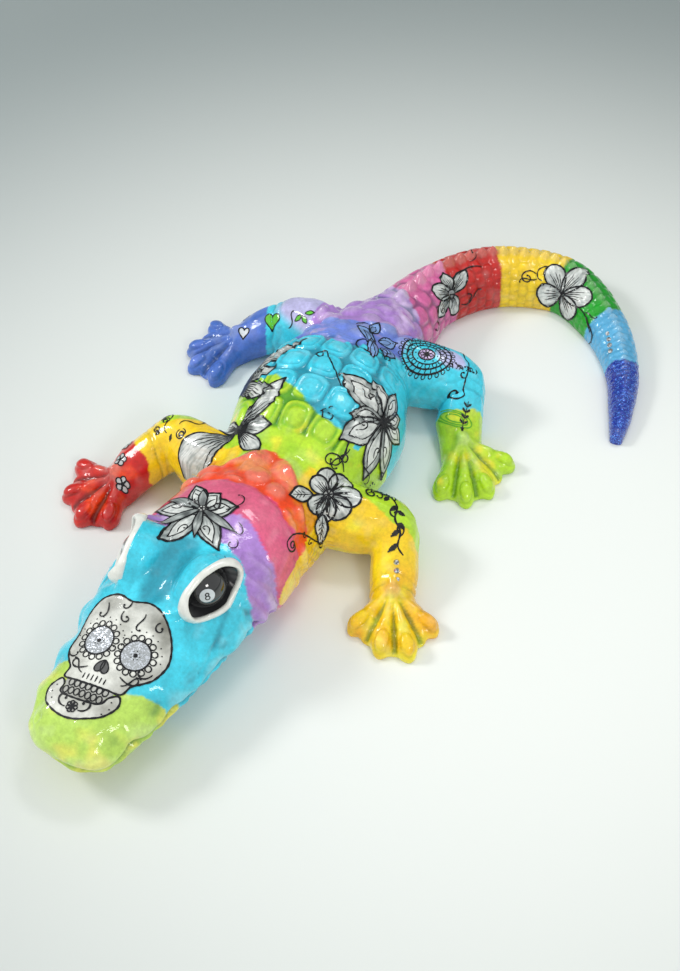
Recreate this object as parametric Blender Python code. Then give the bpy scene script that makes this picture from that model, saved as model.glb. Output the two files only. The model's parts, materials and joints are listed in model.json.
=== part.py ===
"""Alebrije crocodile: a carved figure sawn into blocks that are pegged together, with set-in eyes and stones.

Row frame: metres, +Z up, standing on z = 0. The head looks along -Y, the tail leaves along +Y and sweeps
round to +X. The origin is on the ground under the middle of the belly, which is flat and carries the figure.

The whole animal is first sculpted as one skin (SPINE rings plus LIMBS of overlapping beads). The skin is
then sawn along the joint planes into blocks, as the carver's blocks meet, and each joint gets a peg.
"""

import math

import bmesh
import bpy
from mathutils import Matrix, Vector

MM = 0.001

# ---------------------------------------------------------------- driving dimensions, in millimetres
SAW_GAP = 0.3  # glue line between two blocks
PEG_CLEARANCE = 0.25  # radial, between a peg and its hole
EYE_RADIUS = 13.0
EYE_SEAT_CLEARANCE = 0.35
LID_RADIUS = 1.9
LID_WIDE = 3.2
LID_DISTANCE = EYE_RADIUS + LID_RADIUS + 0.4  # least distance from the ball's centre to the middle of the roll
EYE_OPENING = 58  # half the angle of the opening sawn in the brow over the ball, in degrees
LID_SINK_CLEARANCE = 0.35
STONE_RADIUS = 2.0
STONE_HEIGHT = 1.5
GROUND_CUT_DEPTH = 12.0  # how far the uncut skin may reach below the ground
BOX_REACH = 400.0

RING_POINTS = 28
RING_SPACING = 7.0
VOXEL = 2.6
SMOOTH_STEPS = 4
SKIN_TRIANGLES = 4600

# Spine rings: middle x, y, half width, lowest z, highest z. Negative z is cut off flat at the ground.
SPINE = [
    (-18, -307, 12, 20, 36),
    (-17, -300, 24, 15, 43),
    (-15, -285, 31, 13, 48),
    (-13, -262, 36, 12, 51),
    (-10, -238, 40, 12, 55),
    (-9, -215, 44, 11, 60),
    (-7, -195, 46, 10, 66),
    (-5, -176, 47, 8, 69),
    (-1, -155, 48, 3, 69),
    (2, -132, 46, -2, 69),
    (4, -112, 46, -5, 65),
    (5, -92, 47, -6, 60),
    (6, -70, 50, -6, 66),
    (7, -45, 56, -6, 76),
    (7, -20, 58, -6, 79),
    (5, 5, 53, -6, 75),
    (4, 30, 46, -6, 66),
    (5, 55, 40, -6, 59),
    (8, 80, 33, -6, 52),
    (13, 105, 27, -6, 46),
    (22, 145, 22, -6, 41),
    (54, 187, 23, -6, 38),
    (107, 204, 22, -6, 33),
    (150, 177, 17, -5, 24),
    (175, 139, 12.5, -4, 17),
    (186, 101, 9, -3, 13),
    (191, 71, 4.5, -2, 9),
]
WIDEST_AT = 0.35  # share of a ring's height at which it is widest
ROUNDNESS = 0.84  # superellipse exponent: 1 is an ellipse, less is boxier

# Limbs: chains of beads (x, y, z, horizontal radius, vertical radius).
LIMBS = {
    "front_left": [
        (30, -86, 26, 22, 26), (58, -86, 26, 22, 25), (83, -81, 24, 18, 21), (92, -92, 19, 16, 17),
        (98, -106, 13, 16, 15),
    ],
    "front_right": [
        (-24, -84, 26, 22, 26), (-50, -82, 27, 21, 26), (-72, -76, 28, 17, 22), (-83, -86, 23, 16, 20),
        (-92, -99, 17, 16, 18),
    ],
    "hind_left": [
        (24, 50, 27, 23, 27), (54, 54, 26, 23, 26), (77, 57, 25, 18, 22), (84, 46, 18, 16, 18),
        (88, 31, 13, 17, 15),
    ],
    "hind_right": [
        (-18, 52, 27, 23, 28), (-44, 60, 28, 21, 26), (-62, 59, 23, 17, 21), (-76, 54, 17, 17, 18),
    ],
}
# Feet: the middle of the palm and the four toe tips, x, y.
FEET = {
    "front_left": {"palm": (103, -120), "toes": [(89, -149), (111, -157), (128, -152), (135, -129)]},
    "front_right": {"palm": (-100, -112), "toes": [(-92, -142), (-111, -148), (-130, -134), (-136, -108)]},
    "hind_left": {"palm": (96, 16), "toes": [(97, -26), (116, -25), (127, -11), (132, 18)]},
    "hind_right": {"palm": (-92, 43), "toes": [(-93, 4), (-114, 9), (-124, 25), (-121, 54)]},
}
TOE_RADIUS = 7.4
TOE_HEIGHT = 7.6
PALM_RADIUS = 15.0
PALM_HEIGHT = 9.0

HEAD_TURN = -6.0  # degrees about +Z
HEAD_MIDDLE = Vector((-9, -193, 0))
# Brow humps, in head space: the middle of the one on the +X side and its half axes.
BROW_MIDDLE = Vector((21, 5, 52))
BROW_AXES = (17, 24, 25)
EYE_MIDDLE = Vector((23, 4, 61))
EYE_OUT = Vector((0.88, -0.30, 0.37)).normalized()  # the way the eye on the +X side looks
EYE_CORNER = Vector((-0.24, -0.95, -0.23))  # towards the front corner of the lids
LID_SPREAD = (64, 78)  # degrees from the look direction to the lid, beside the eye and at its corners
CORNER_REACH = 0.1  # the lid runs this much further out at its corners
LID_POINTS = 28
LID_SIDES = 8

# Saws. A saw is a plane, (point), (direction of the block that comes off), then the peg's radius and half length.
JAW_TOP = 28.0
JAW_BACK = -168.0
JAW_PEGS = [(-28, -214), (8, -216)]
JAW_PEG = (3.0, 6.5)
NECK_SAW = ((-2, -158, 36), (0.05, -1, 0), 8.0, 20.0)
SHOULDER_SAW = ((4, -109, 31), (0.03, -1, 0), 9.0, 20.0)
ROOT_SAWS = {
    "front_left": ((58, -86, 26), (1, -0.15, 0), 6.0, 16.0),
    "front_right": ((-51, -82, 27), (-1, -0.1, 0), 6.0, 16.0),
    "hind_left": ((56, 54, 26), (1, 0.08, 0), 6.0, 15.0),
    "hind_right": ((-46, 60, 27), (-1, 0.1, 0), 5.0, 12.0),
}
ANKLE_SAWS = {
    "front_left": ((104, -124, 7.5), (0.4, -0.91, 0), 2.5, 6.0),
    "front_right": ((-88, -95, 17), (-0.6, -0.8, 0), 3.5, 9.0),
    "hind_left": ((87, 38, 14), (0.5, -0.87, 0), 3.5, 8.0),
    "hind_right": ((-73, 54, 16), (-0.93, -0.36, 0), 3.5, 8.0),
}
ROOT_SAW_HALF = 47.0  # reach of a limb saw to each side of its point
SAW_HALF = 48.0  # the same for the other small saws
ANKLE_SAW_HALF = {"front_left": 46, "front_right": 46, "hind_left": 38, "hind_right": 50}
SAW_LENGTH = 92.0  # reach beyond it
HEAD_SAW_HALF = 62.0
HEAD_SAW_LENGTH = 220.0
# Tail blocks from the hips outwards: name, spine parameter of the saw at its near end, peg radius, half length.
TAIL_BLOCKS = [
    ("tail_pink", 19.05, 6.0, 12.0),
    ("tail_red", 20.12, 5.0, 11.0),
    ("tail_yellow", 21.05, 5.0, 10.0),
    ("tail_green", 22.0, 4.0, 9.0),
    ("tail_sky", 23.0, 3.0, 8.0),
    ("tail_tip", 24.0, 2.5, 7.0),
]
HOLE_END = 0.6  # air at each end of a peg
PEG_CHAMFER = 0.8
PEG_SIDES = 14

# Paint: name start, colour (linear red, green, blue), roughness.
PAINTS = [
    ("head", (0.03, 0.42, 0.66), 0.2),
    ("lower_jaw", (0.42, 0.62, 0.03), 0.2),
    ("neck", (0.6, 0.07, 0.35), 0.2),
    ("torso", (0.3, 0.55, 0.05), 0.2),
    ("front_leg", (0.88, 0.56, 0.02), 0.2),
    ("front_foot_left", (0.9, 0.4, 0.03), 0.2),
    ("front_foot_right", (0.72, 0.02, 0.01), 0.2),
    ("hind_leg", (0.03, 0.42, 0.66), 0.2),
    ("hind_foot_left", (0.42, 0.66, 0.03), 0.2),
    ("hind_foot_right", (0.06, 0.13, 0.62), 0.2),
    ("tail_pink", (0.66, 0.12, 0.38), 0.2),
    ("tail_red", (0.72, 0.03, 0.02), 0.2),
    ("tail_yellow", (0.88, 0.56, 0.02), 0.2),
    ("tail_green", (0.02, 0.4, 0.04), 0.2),
    ("tail_sky", (0.1, 0.42, 0.72), 0.2),
    ("tail_tip", (0.01, 0.07, 0.5), 0.25),
    ("tail_stone", (0.8, 0.84, 0.88), 0.05),
    ("wrist_stone", (0.8, 0.84, 0.88), 0.05),
    ("eye_ball", (0.005, 0.005, 0.006), 0.05),
    ("eyelid", (0.85, 0.85, 0.83), 0.25),
    ("peg", (0.5, 0.3, 0.14), 0.7),
]

# Rows of glued stones: block, first and last place in plan, number.
STONE_ROWS = [
    ("wrist_stone", "front_leg_left", (99.5, -107), (106, -119.5), 4),
    ("tail_stone", "tail_sky", (156, 158.5), (162.6, 145), 4),
]
STONE_FACETS = 8
STONE_TABLE = 0.55
STONE_SEAT = 0.8
STONE_GAP = 0.3


# ---------------------------------------------------------------- curves and meshes
def catmull_rom(rows, t):
    """The row at parameter t (0 to len - 1) on a smooth curve through rows of numbers."""
    last = len(rows) - 1
    i = min(int(t), last - 1)
    f = t - i
    a, b, c, d = (rows[max(0, min(last, j))] for j in (i - 1, i, i + 1, i + 2))
    return [
        0.5 * (2 * q + (r - p) * f + (2 * p - 5 * q + 4 * r - s) * f * f + (3 * q - p - 3 * r + s) * f ** 3)
        for p, q, r, s in zip(a, b, c, d)
    ]


def spine_at(t):
    """Middle point, heading in plan, half width, lowest and highest z at spine parameter t."""
    x, y, half, low, high = catmull_rom(SPINE, t)
    before = catmull_rom(SPINE, max(0, t - 0.2))
    after = catmull_rom(SPINE, min(len(SPINE) - 1, t + 0.2))
    heading = Vector((after[0] - before[0], after[1] - before[1], 0)).normalized()
    return Vector((x, y, 0)), heading, max(half, 1.0), low, high


def signed_power(value, exponent):
    return math.copysign(abs(value) ** exponent, value)


def spine_ring(t, points=RING_POINTS):
    """One cross-section of the trunk: a superellipse that is widest below its middle."""
    middle, heading, half, low, high = spine_at(t)
    side = Vector((heading.y, -heading.x, 0))
    waist = low + WIDEST_AT * (high - low)
    ring = []
    for k in range(points):
        angle = 2 * math.pi * k / points
        across = half * signed_power(math.cos(angle), ROUNDNESS)
        rise = signed_power(math.sin(angle), ROUNDNESS)
        z = waist + rise * ((high - waist) if rise > 0 else (waist - low))
        ring.append(middle + side * across + Vector((0, 0, z)))
    return ring


def link(name, mesh):
    obj = bpy.data.objects.new(name, mesh)
    bpy.context.scene.collection.objects.link(obj)
    return obj


def add_trunk(bm):
    """The closed loft of all spine rings."""
    rings = []
    for i in range(len(SPINE) - 1):
        gap = (Vector(SPINE[i + 1][:2]) - Vector(SPINE[i][:2])).length
        steps = max(2, round(gap / RING_SPACING))
        rings += [spine_ring(i + k / steps) for k in range(steps)]
    rings.append(spine_ring(len(SPINE) - 1))
    rows = [[bm.verts.new(p) for p in ring] for ring in rings]
    for a, b in zip(rows, rows[1:]):
        for k in range(RING_POINTS):
            j = (k + 1) % RING_POINTS
            bm.faces.new((a[k], a[j], b[j], b[k]))
    bm.faces.new(rows[0][::-1])
    bm.faces.new(rows[-1])


def add_bead(bm, x, y, z, radius, height):
    """An ellipsoid: radius in plan, height is its vertical half axis."""
    place = Matrix.Translation((x, y, z)) @ Matrix.Diagonal((radius, radius, height, 1))
    bmesh.ops.create_icosphere(bm, subdivisions=2, radius=1, matrix=place)


def add_chain(bm, beads, step=3.0):
    """Beads strung closely along a smooth curve through the given ones."""
    for i in range(len(beads) - 1):
        gap = (Vector(beads[i + 1][:3]) - Vector(beads[i][:3])).length
        count = max(1, round(gap / step))
        for k in range(count + (i == len(beads) - 2)):
            add_bead(bm, *catmull_rom(beads, i + k / count))


def add_foot(bm, foot, ankle):
    """A webbed foot: ankle, palm and four toes with thick pads at their tips."""
    palm = Vector((*foot["palm"], 6))
    add_chain(bm, [ankle, (*palm, PALM_RADIUS, PALM_HEIGHT + 2)])
    tips = [Vector((*toe, 3)) for toe in foot["toes"]]
    for tip in tips:
        root = palm.lerp(tip, 0.2)
        knuckle = palm.lerp(tip, 0.62)
        add_chain(bm, [
            (*root.xy, 7, TOE_RADIUS + 1, PALM_HEIGHT),
            (*knuckle.xy, 5, TOE_RADIUS - 0.4, TOE_HEIGHT + 1.2),
            (*palm.lerp(tip, 0.86).xy, 4, TOE_RADIUS, TOE_HEIGHT + 1),
            (*palm.lerp(tip, 0.98).xy, 2, TOE_RADIUS * 0.62, TOE_HEIGHT * 0.75),
        ])
    for a, b in zip(tips, tips[1:]):
        web = (a + b) / 2
        add_chain(bm, [(*palm.xy, 4, PALM_RADIUS, PALM_HEIGHT), (*palm.lerp(web, 0.62).xy, 4, 9, 7.5),
                       (*palm.lerp(web, 0.84).xy, 2, 7, 5.5)])


def head_matrix():
    """Head space, with its origin between the eyes on the ground, to the row frame, in millimetres."""
    return Matrix.Translation(HEAD_MIDDLE) @ Matrix.Rotation(math.radians(HEAD_TURN), 4, "Z")


def mirrored(vector, side):
    """The vector as it is for side 1 (+X), or mirrored in x for side -1."""
    return Vector((side * vector.x, vector.y, vector.z))


def add_brows(bm):
    for side in (1, -1):
        place = head_matrix() @ Matrix.Translation(mirrored(BROW_MIDDLE, side))
        bmesh.ops.create_icosphere(bm, subdivisions=3, radius=1, matrix=place @ Matrix.Diagonal((*BROW_AXES, 1)))


def evaluated_mesh(obj, name):
    """The object's mesh with its modifiers applied, as new data."""
    bpy.context.view_layer.update()
    graph = bpy.context.evaluated_depsgraph_get()
    mesh = bpy.data.meshes.new_from_object(obj.evaluated_get(graph))
    mesh.name = name
    return mesh


def sculpt_skin():
    """The whole animal as one closed mesh, in metres, cut flat at the ground."""
    bm = bmesh.new()
    add_trunk(bm)
    add_brows(bm)
    for name, beads in LIMBS.items():
        add_chain(bm, beads)
        add_foot(bm, FEET[name], beads[-1])
    bmesh.ops.scale(bm, vec=(MM, MM, MM), verts=bm.verts)
    mesh = bpy.data.meshes.new("rough")
    bm.to_mesh(mesh)
    rough = link("rough", mesh)
    remesh = rough.modifiers.new("fuse", "REMESH")
    remesh.mode = "VOXEL"
    remesh.voxel_size = VOXEL * MM
    smooth = rough.modifiers.new("sand", "SMOOTH")
    smooth.iterations = SMOOTH_STEPS
    smooth.factor = 0.5
    fused = link("skin", evaluated_mesh(rough, "skin"))
    bpy.data.objects.remove(rough)
    thin = fused.modifiers.new("thin", "DECIMATE")
    thin.ratio = min(1.0, SKIN_TRIANGLES / (2 * len(fused.data.polygons)))
    thin.use_collapse_triangulate = True
    fused.data = evaluated_mesh(fused, "skin")
    fused.modifiers.clear()
    return fused


# ---------------------------------------------------------------- saws, holes and pegs
def boolean(obj, cutter, operation):
    """Applies one exact Boolean and removes the cutter."""
    cutter.hide_render = True
    cutter.display_type = "WIRE"
    modifier = obj.modifiers.new("cut", "BOOLEAN")
    modifier.operation = operation
    modifier.solver = "EXACT"
    modifier.object = cutter
    obj.data = evaluated_mesh(obj, obj.name)
    obj.modifiers.clear()
    bpy.data.objects.remove(cutter)


def solid(name, bm, place=None):
    """A new object from a bmesh in millimetres, moved by an optional matrix and scaled to metres."""
    bmesh.ops.transform(bm, matrix=Matrix.Scale(MM, 4) @ (place or Matrix()), verts=bm.verts)
    bmesh.ops.recalc_face_normals(bm, faces=bm.faces)
    mesh = bpy.data.meshes.new(name)
    bm.to_mesh(mesh)
    bm.free()
    return link(name, mesh)


def box(low, high, place=None):
    """A box between two corners."""
    size = Vector(high) - Vector(low)
    middle = (Vector(high) + Vector(low)) / 2
    bm = bmesh.new()
    bmesh.ops.create_cube(bm, size=1, matrix=Matrix.Translation(middle) @ Matrix.Diagonal((*size, 1)))
    return solid("cutter", bm, place)


def frame_at(point, direction):
    """A matrix whose z axis is the direction and whose y axis points up as far as it can."""
    z = Vector(direction).normalized()
    up = Vector((0, 0, 1)) if abs(z.z) < 0.9 else Vector((0, 1, 0))
    x = up.cross(z).normalized()
    rotation = Matrix((x, z.cross(x), z)).transposed().to_4x4()
    return Matrix.Translation(point) @ rotation


def saw_off(obj, name, point, direction, half=SAW_HALF, length=SAW_LENGTH):
    """Takes the part of obj beyond the plane off as a new object, leaving the glue line open."""
    place = frame_at(point, direction)
    block = link(name, obj.data.copy())
    boolean(block, box((-half, -half, SAW_GAP / 2), (half, half, length), place), "INTERSECT")
    boolean(obj, box((-half, -half, -SAW_GAP / 2), (half, half, length), place), "DIFFERENCE")
    return block


def rod(name, place, radius, half, chamfer=0.0):
    """A straight peg along z, with its two ends chamfered."""
    profile = [(radius, -half), (radius, half)]
    if chamfer:
        profile = [
            (radius - chamfer, -half), (radius, -half + chamfer), (radius, half - chamfer), (radius - chamfer, half),
        ]
    bm = bmesh.new()
    rings = []
    for r, z in profile:
        angles = [2 * math.pi * k / PEG_SIDES for k in range(PEG_SIDES)]
        rings.append([bm.verts.new((r * math.cos(a), r * math.sin(a), z)) for a in angles])
    for a, b in zip(rings, rings[1:]):
        for k in range(PEG_SIDES):
            j = (k + 1) % PEG_SIDES
            bm.faces.new((a[k], a[j], b[j], b[k]))
    bm.faces.new(rings[0][::-1])
    bm.faces.new(rings[-1])
    return solid(name, bm, place)


def peg_joint(name, near, far, point, direction, radius, half):
    """Drills both blocks across their joint and puts a peg in."""
    place = frame_at(point, direction)
    for block in (near, far):
        boolean(block, rod("drill", place, radius + PEG_CLEARANCE, half + HOLE_END), "DIFFERENCE")
    rod(name, place, radius, half, PEG_CHAMFER)


def saw_and_peg(body, block_name, peg_name, saw, **reach):
    point, direction, radius, half = saw
    block = saw_off(body, block_name, point, direction, **reach)
    peg_joint(peg_name, body, block, point, direction, radius, half)
    return block


def tail_saw(t, radius, half):
    """The saw across the tail at spine parameter t, with its peg at half the height of the section."""
    middle, heading, _, _, high = spine_at(t)
    return (middle + Vector((0, 0, high * 0.45)), heading, radius, half)


# ---------------------------------------------------------------- eyes and stones
def eye_axes(side):
    """The ball's middle, its look direction and the direction to the front corner, in the row frame."""
    place = head_matrix()
    turn = place.to_3x3()
    look = turn @ mirrored(EYE_OUT, side)
    corner = turn @ mirrored(EYE_CORNER, side)
    corner = (corner - look * corner.dot(look)).normalized()
    return place @ mirrored(EYE_MIDDLE, side), look, corner


def lid_path(side, count):
    """Points round the lid, each with the way outwards and the way along the brow. The roll lies on the brow."""
    middle, look, corner = eye_axes(side)
    across = look.cross(corner)
    narrow, wide = (math.radians(a) for a in LID_SPREAD)
    brow = head_matrix() @ Matrix.Translation(mirrored(BROW_MIDDLE, side)) @ Matrix.Diagonal((*BROW_AXES, 1))
    inside = brow.inverted()
    start = inside @ middle
    found = []
    for k in range(count):
        around = 2 * math.pi * k / count
        pull = abs(math.cos(around))
        spread = narrow + (wide - narrow) * pull ** 2.5
        outwards = corner * math.cos(around) + across * math.sin(around)
        radial = look * math.cos(spread) + outwards * math.sin(spread)
        along = outwards * math.cos(spread) - look * math.sin(spread)
        step = inside.to_3x3() @ radial
        a, b, c = step.dot(step), start.dot(step), start.dot(start) - 1
        to_brow = (math.sqrt(b * b - a * c) - b) / a
        reach = max(LID_DISTANCE, to_brow) * (1 + CORNER_REACH * pull ** 4)
        found.append((middle + radial * reach, radial, along))
    return found


def lid_ring(name, side, extra=0.0):
    """A rounded rim round the opening: wide along the brow, thinner outwards, closed on itself."""
    sections = []
    for centre, radial, along in lid_path(side, LID_POINTS):
        points = []
        for j in range(LID_SIDES):
            angle = 2 * math.pi * j / LID_SIDES
            reach = LID_WIDE + extra, LID_RADIUS + extra
            points.append(centre + along * reach[0] * math.cos(angle) + radial * reach[1] * math.sin(angle))
        sections.append(points)
    bm = bmesh.new()
    rows = [[bm.verts.new(p) for p in section] for section in sections]
    for a, b in zip(rows, rows[1:] + rows[:1]):
        for j in range(LID_SIDES):
            i = (j + 1) % LID_SIDES
            bm.faces.new((a[j], a[i], b[i], b[j]))
    return solid(name, bm)


def opening_cone(side):
    """The cone sawn out of the brow over the ball."""
    middle, look, _ = eye_axes(side)
    height = 22.0
    wide = height * math.tan(math.radians(EYE_OPENING))
    bm = bmesh.new()
    bmesh.ops.create_cone(bm, cap_ends=True, segments=24, radius1=0.2, radius2=wide, depth=height)
    turn = look.to_track_quat("Z", "Y").to_matrix().to_4x4()
    bmesh.ops.transform(bm, matrix=Matrix.Translation(middle + look * height / 2) @ turn, verts=bm.verts)
    return solid("drill", bm)


def ball(name, middle, radius):
    bm = bmesh.new()
    bmesh.ops.create_icosphere(bm, subdivisions=3, radius=radius, matrix=Matrix.Translation(middle))
    return solid(name, bm)


def keep_largest(obj):
    """Drops the slivers that a cut leaves loose."""
    bm = bmesh.new()
    bm.from_mesh(obj.data)
    bodies = []
    left = set(bm.verts)
    while left:
        front = [left.pop()]
        found = list(front)
        while front:
            near = {edge.other_vert(vert) for vert in front for edge in vert.link_edges} & left
            left -= near
            found += near
            front = list(near)
        bodies.append(found)
    bodies.sort(key=len)
    for body in bodies[:-1]:
        bmesh.ops.delete(bm, geom=body, context="VERTS")
    bm.to_mesh(obj.data)
    bm.free()


def set_eyes(head):
    for side, word in ((1, "left"), (-1, "right")):
        middle = eye_axes(side)[0]
        boolean(head, ball("drill", middle, EYE_RADIUS + EYE_SEAT_CLEARANCE), "DIFFERENCE")
        boolean(head, opening_cone(side), "DIFFERENCE")
        boolean(head, lid_ring("drill", side, LID_SINK_CLEARANCE), "DIFFERENCE")
        ball("eye_ball_" + word, middle, EYE_RADIUS)
        lid_ring("eyelid_" + word, side)
    keep_largest(head)


def stone(name, place):
    """A cut stone: a flat back, a straight girdle, slanted facets and a flat table."""
    profile = [(STONE_RADIUS, 0), (STONE_RADIUS, STONE_HEIGHT * 0.3), (STONE_RADIUS * STONE_TABLE, STONE_HEIGHT)]
    bm = bmesh.new()
    rings = []
    for r, z in profile:
        angles = [2 * math.pi * k / STONE_FACETS for k in range(STONE_FACETS)]
        rings.append([bm.verts.new((r * math.cos(a), r * math.sin(a), z)) for a in angles])
    for a, b in zip(rings, rings[1:]):
        for k in range(STONE_FACETS):
            j = (k + 1) % STONE_FACETS
            bm.faces.new((a[k], a[j], b[j], b[k]))
    bm.faces.new(rings[0][::-1])
    bm.faces.new(rings[-1])
    return solid(name, bm, place)


def glue_stones(blocks):
    """Sinks each stone's back into a shallow seat, drilled square to the surface."""
    for name, block_name, first, last, count in STONE_ROWS:
        block = blocks[block_name]
        for k in range(count):
            spot = Vector(first).lerp(Vector(last), k / (count - 1))
            found, point, normal, _ = block.ray_cast(Vector((*spot, 120)) * MM, Vector((0, 0, -1)))
            place = frame_at(point / MM - normal * STONE_SEAT, normal)
            seat = place @ Matrix.Translation((0, 0, STONE_HEIGHT))
            boolean(block, rod("drill", seat, STONE_RADIUS + STONE_GAP, STONE_HEIGHT), "DIFFERENCE")
            stone(f"{name}_{k + 1}", place @ Matrix.Translation((0, 0, STONE_GAP)))


def paint_all():
    """Gives every block its own paint, and shades its round faces smooth."""
    for obj in bpy.data.objects:
        colour, roughness = next((c, r) for start, c, r in PAINTS if obj.name.startswith(start))
        material = bpy.data.materials.new(obj.name)
        material.use_nodes = True
        shader = material.node_tree.nodes["Principled BSDF"]
        shader.inputs["Base Color"].default_value = (*colour, 1)
        shader.inputs["Roughness"].default_value = roughness
        shader.inputs["Metallic"].default_value = 0.0
        obj.data.materials.clear()
        obj.data.materials.append(material)
        obj.data.shade_smooth()
        obj.data.set_sharp_from_angle(angle=math.radians(35))


def main():
    for obj in list(bpy.data.objects):
        bpy.data.objects.remove(obj)
    body = sculpt_skin()
    reach = Vector((BOX_REACH, BOX_REACH, 0))
    boolean(body, box(-reach - Vector((0, 0, GROUND_CUT_DEPTH * 3)), reach), "DIFFERENCE")
    blocks = {}
    for limb in LIMBS:
        place, side = limb.split("_")
        foot_name = f"{place}_foot_{side}"
        leg_name = f"{place}_leg_{side}"
        foot = saw_off(body, foot_name, *ANKLE_SAWS[limb][:2], half=ANKLE_SAW_HALF[limb])
        leg = saw_and_peg(body, leg_name, f"peg_{limb}_root", ROOT_SAWS[limb], half=ROOT_SAW_HALF)
        peg_joint(f"peg_{limb}_ankle", leg, foot, *ANKLE_SAWS[limb])
        blocks[foot_name] = foot
        blocks[leg_name] = leg
    beyond = None
    for name, t, radius, half in reversed(TAIL_BLOCKS):
        saw = tail_saw(t, radius, half)
        block = saw_off(body, name, *saw[:2])
        if beyond:
            peg_joint(f"peg_{beyond[0]}", block, blocks[beyond[0]], *beyond[1])
        beyond = (name, saw)
        blocks[name] = block
    peg_joint(f"peg_{beyond[0]}", body, blocks[beyond[0]], *beyond[1])
    reach = {"half": HEAD_SAW_HALF, "length": HEAD_SAW_LENGTH}
    neck = saw_and_peg(body, "neck", "peg_shoulder", SHOULDER_SAW, **reach)
    head = saw_and_peg(neck, "head", "peg_neck", NECK_SAW, **reach)
    jaw = saw_off(head, "lower_jaw", (JAW_PEGS[0][0], JAW_BACK, JAW_TOP), (0, 0, -1), length=60, half=150)
    for k, spot in enumerate(JAW_PEGS):
        peg_joint(f"peg_jaw_{k + 1}", head, jaw, (*spot, JAW_TOP), (0, 0, 1), *JAW_PEG)
    set_eyes(head)
    body.name = "torso"
    glue_stones(blocks)
    paint_all()


main()
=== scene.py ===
"""Looks of the alebrije crocodile: a sculpted and painted skin over the CAD blocks, painted motifs, eyes, stones.

Lengths are in millimetres in the row frame until a mesh is made. The skin is built from the same spine rings and
limb beads as the CAD, fused finely, sculpted with scales and folds, painted per vertex, then parted into one piece
per CAD block. Motifs (flowers, leaves, curls, the sugar skull) are drawn on flat sheets and laid onto the skin.
"""
import json
import math
import bmesh
import bpy
import numpy as np
from mathutils import Matrix, Vector
from mathutils.bvhtree import BVHTree

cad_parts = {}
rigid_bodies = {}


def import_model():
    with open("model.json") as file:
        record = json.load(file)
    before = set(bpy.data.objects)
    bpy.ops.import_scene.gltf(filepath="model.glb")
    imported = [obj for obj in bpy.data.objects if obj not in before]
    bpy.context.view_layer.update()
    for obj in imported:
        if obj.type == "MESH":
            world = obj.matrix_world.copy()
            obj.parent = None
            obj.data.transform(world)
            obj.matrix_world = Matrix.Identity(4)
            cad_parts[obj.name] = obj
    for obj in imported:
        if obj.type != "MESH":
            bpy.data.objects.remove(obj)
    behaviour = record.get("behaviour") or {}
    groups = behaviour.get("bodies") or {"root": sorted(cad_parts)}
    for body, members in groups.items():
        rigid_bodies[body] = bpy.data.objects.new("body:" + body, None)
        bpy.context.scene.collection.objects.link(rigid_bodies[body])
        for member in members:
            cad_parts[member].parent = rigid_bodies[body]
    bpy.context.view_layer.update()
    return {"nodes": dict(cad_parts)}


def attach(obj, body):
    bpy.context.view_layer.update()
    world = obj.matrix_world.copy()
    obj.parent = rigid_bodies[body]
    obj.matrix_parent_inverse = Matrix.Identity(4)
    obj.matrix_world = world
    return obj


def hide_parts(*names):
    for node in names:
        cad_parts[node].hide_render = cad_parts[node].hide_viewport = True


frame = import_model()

MM = 0.001
VOXEL = 1.25
EYE_RADIUS = 13.9
EYE_SUNK = 2.2
LID_THICK = 1.9
LID_WIDE = 2.8
LID_DISTANCE = 15.3

RING_POINTS = 40
RING_SPACING = 4.0

# Spine rings: middle x, y, half width, lowest z, highest z. Negative z is cut off flat at the ground.
SPINE = [
    (-18, -307, 12, 20, 36),
    (-17, -300, 24, 15, 43),
    (-15, -285, 31, 13, 48),
    (-13, -262, 36, 12, 51),
    (-10, -238, 40, 12, 55),
    (-9, -215, 44, 11, 60),
    (-7, -195, 46, 10, 66),
    (-5, -176, 47, 8, 69),
    (-1, -155, 48, 3, 69),
    (2, -132, 46, -2, 69),
    (4, -112, 46, -5, 65),
    (5, -92, 47, -6, 60),
    (6, -70, 50, -6, 66),
    (7, -45, 56, -6, 76),
    (7, -20, 58, -6, 79),
    (5, 5, 53, -6, 75),
    (4, 30, 46, -6, 66),
    (5, 55, 40, -6, 59),
    (8, 80, 33, -6, 52),
    (13, 105, 27, -6, 46),
    (22, 145, 22, -6, 41),
    (54, 187, 23, -6, 38),
    (107, 204, 22, -6, 33),
    (150, 177, 17, -5, 24),
    (175, 139, 12.5, -4, 17),
    (186, 101, 9, -3, 13),
    (191, 71, 4.5, -2, 9),
]
WIDEST_AT = 0.35  # share of a ring's height at which it is widest
ROUNDNESS = 0.84  # superellipse exponent: 1 is an ellipse, less is boxier

# Limbs: chains of beads (x, y, z, horizontal radius, vertical radius).
LIMBS = {
    "front_left": [
        (30, -86, 26, 22, 26), (58, -86, 26, 22, 25), (83, -81, 24, 18, 21), (92, -92, 19, 16, 17),
        (98, -106, 13, 16, 15),
    ],
    "front_right": [
        (-24, -84, 26, 22, 26), (-50, -82, 27, 21, 26), (-72, -76, 28, 17, 22), (-83, -86, 23, 16, 20),
        (-92, -99, 17, 16, 18),
    ],
    "hind_left": [
        (24, 50, 27, 23, 27), (54, 54, 26, 23, 26), (77, 57, 25, 18, 22), (84, 46, 18, 16, 18),
        (88, 31, 13, 17, 15),
    ],
    "hind_right": [
        (-18, 52, 27, 23, 28), (-44, 60, 28, 21, 26), (-62, 59, 23, 17, 21), (-76, 54, 17, 17, 18),
    ],
}
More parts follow.
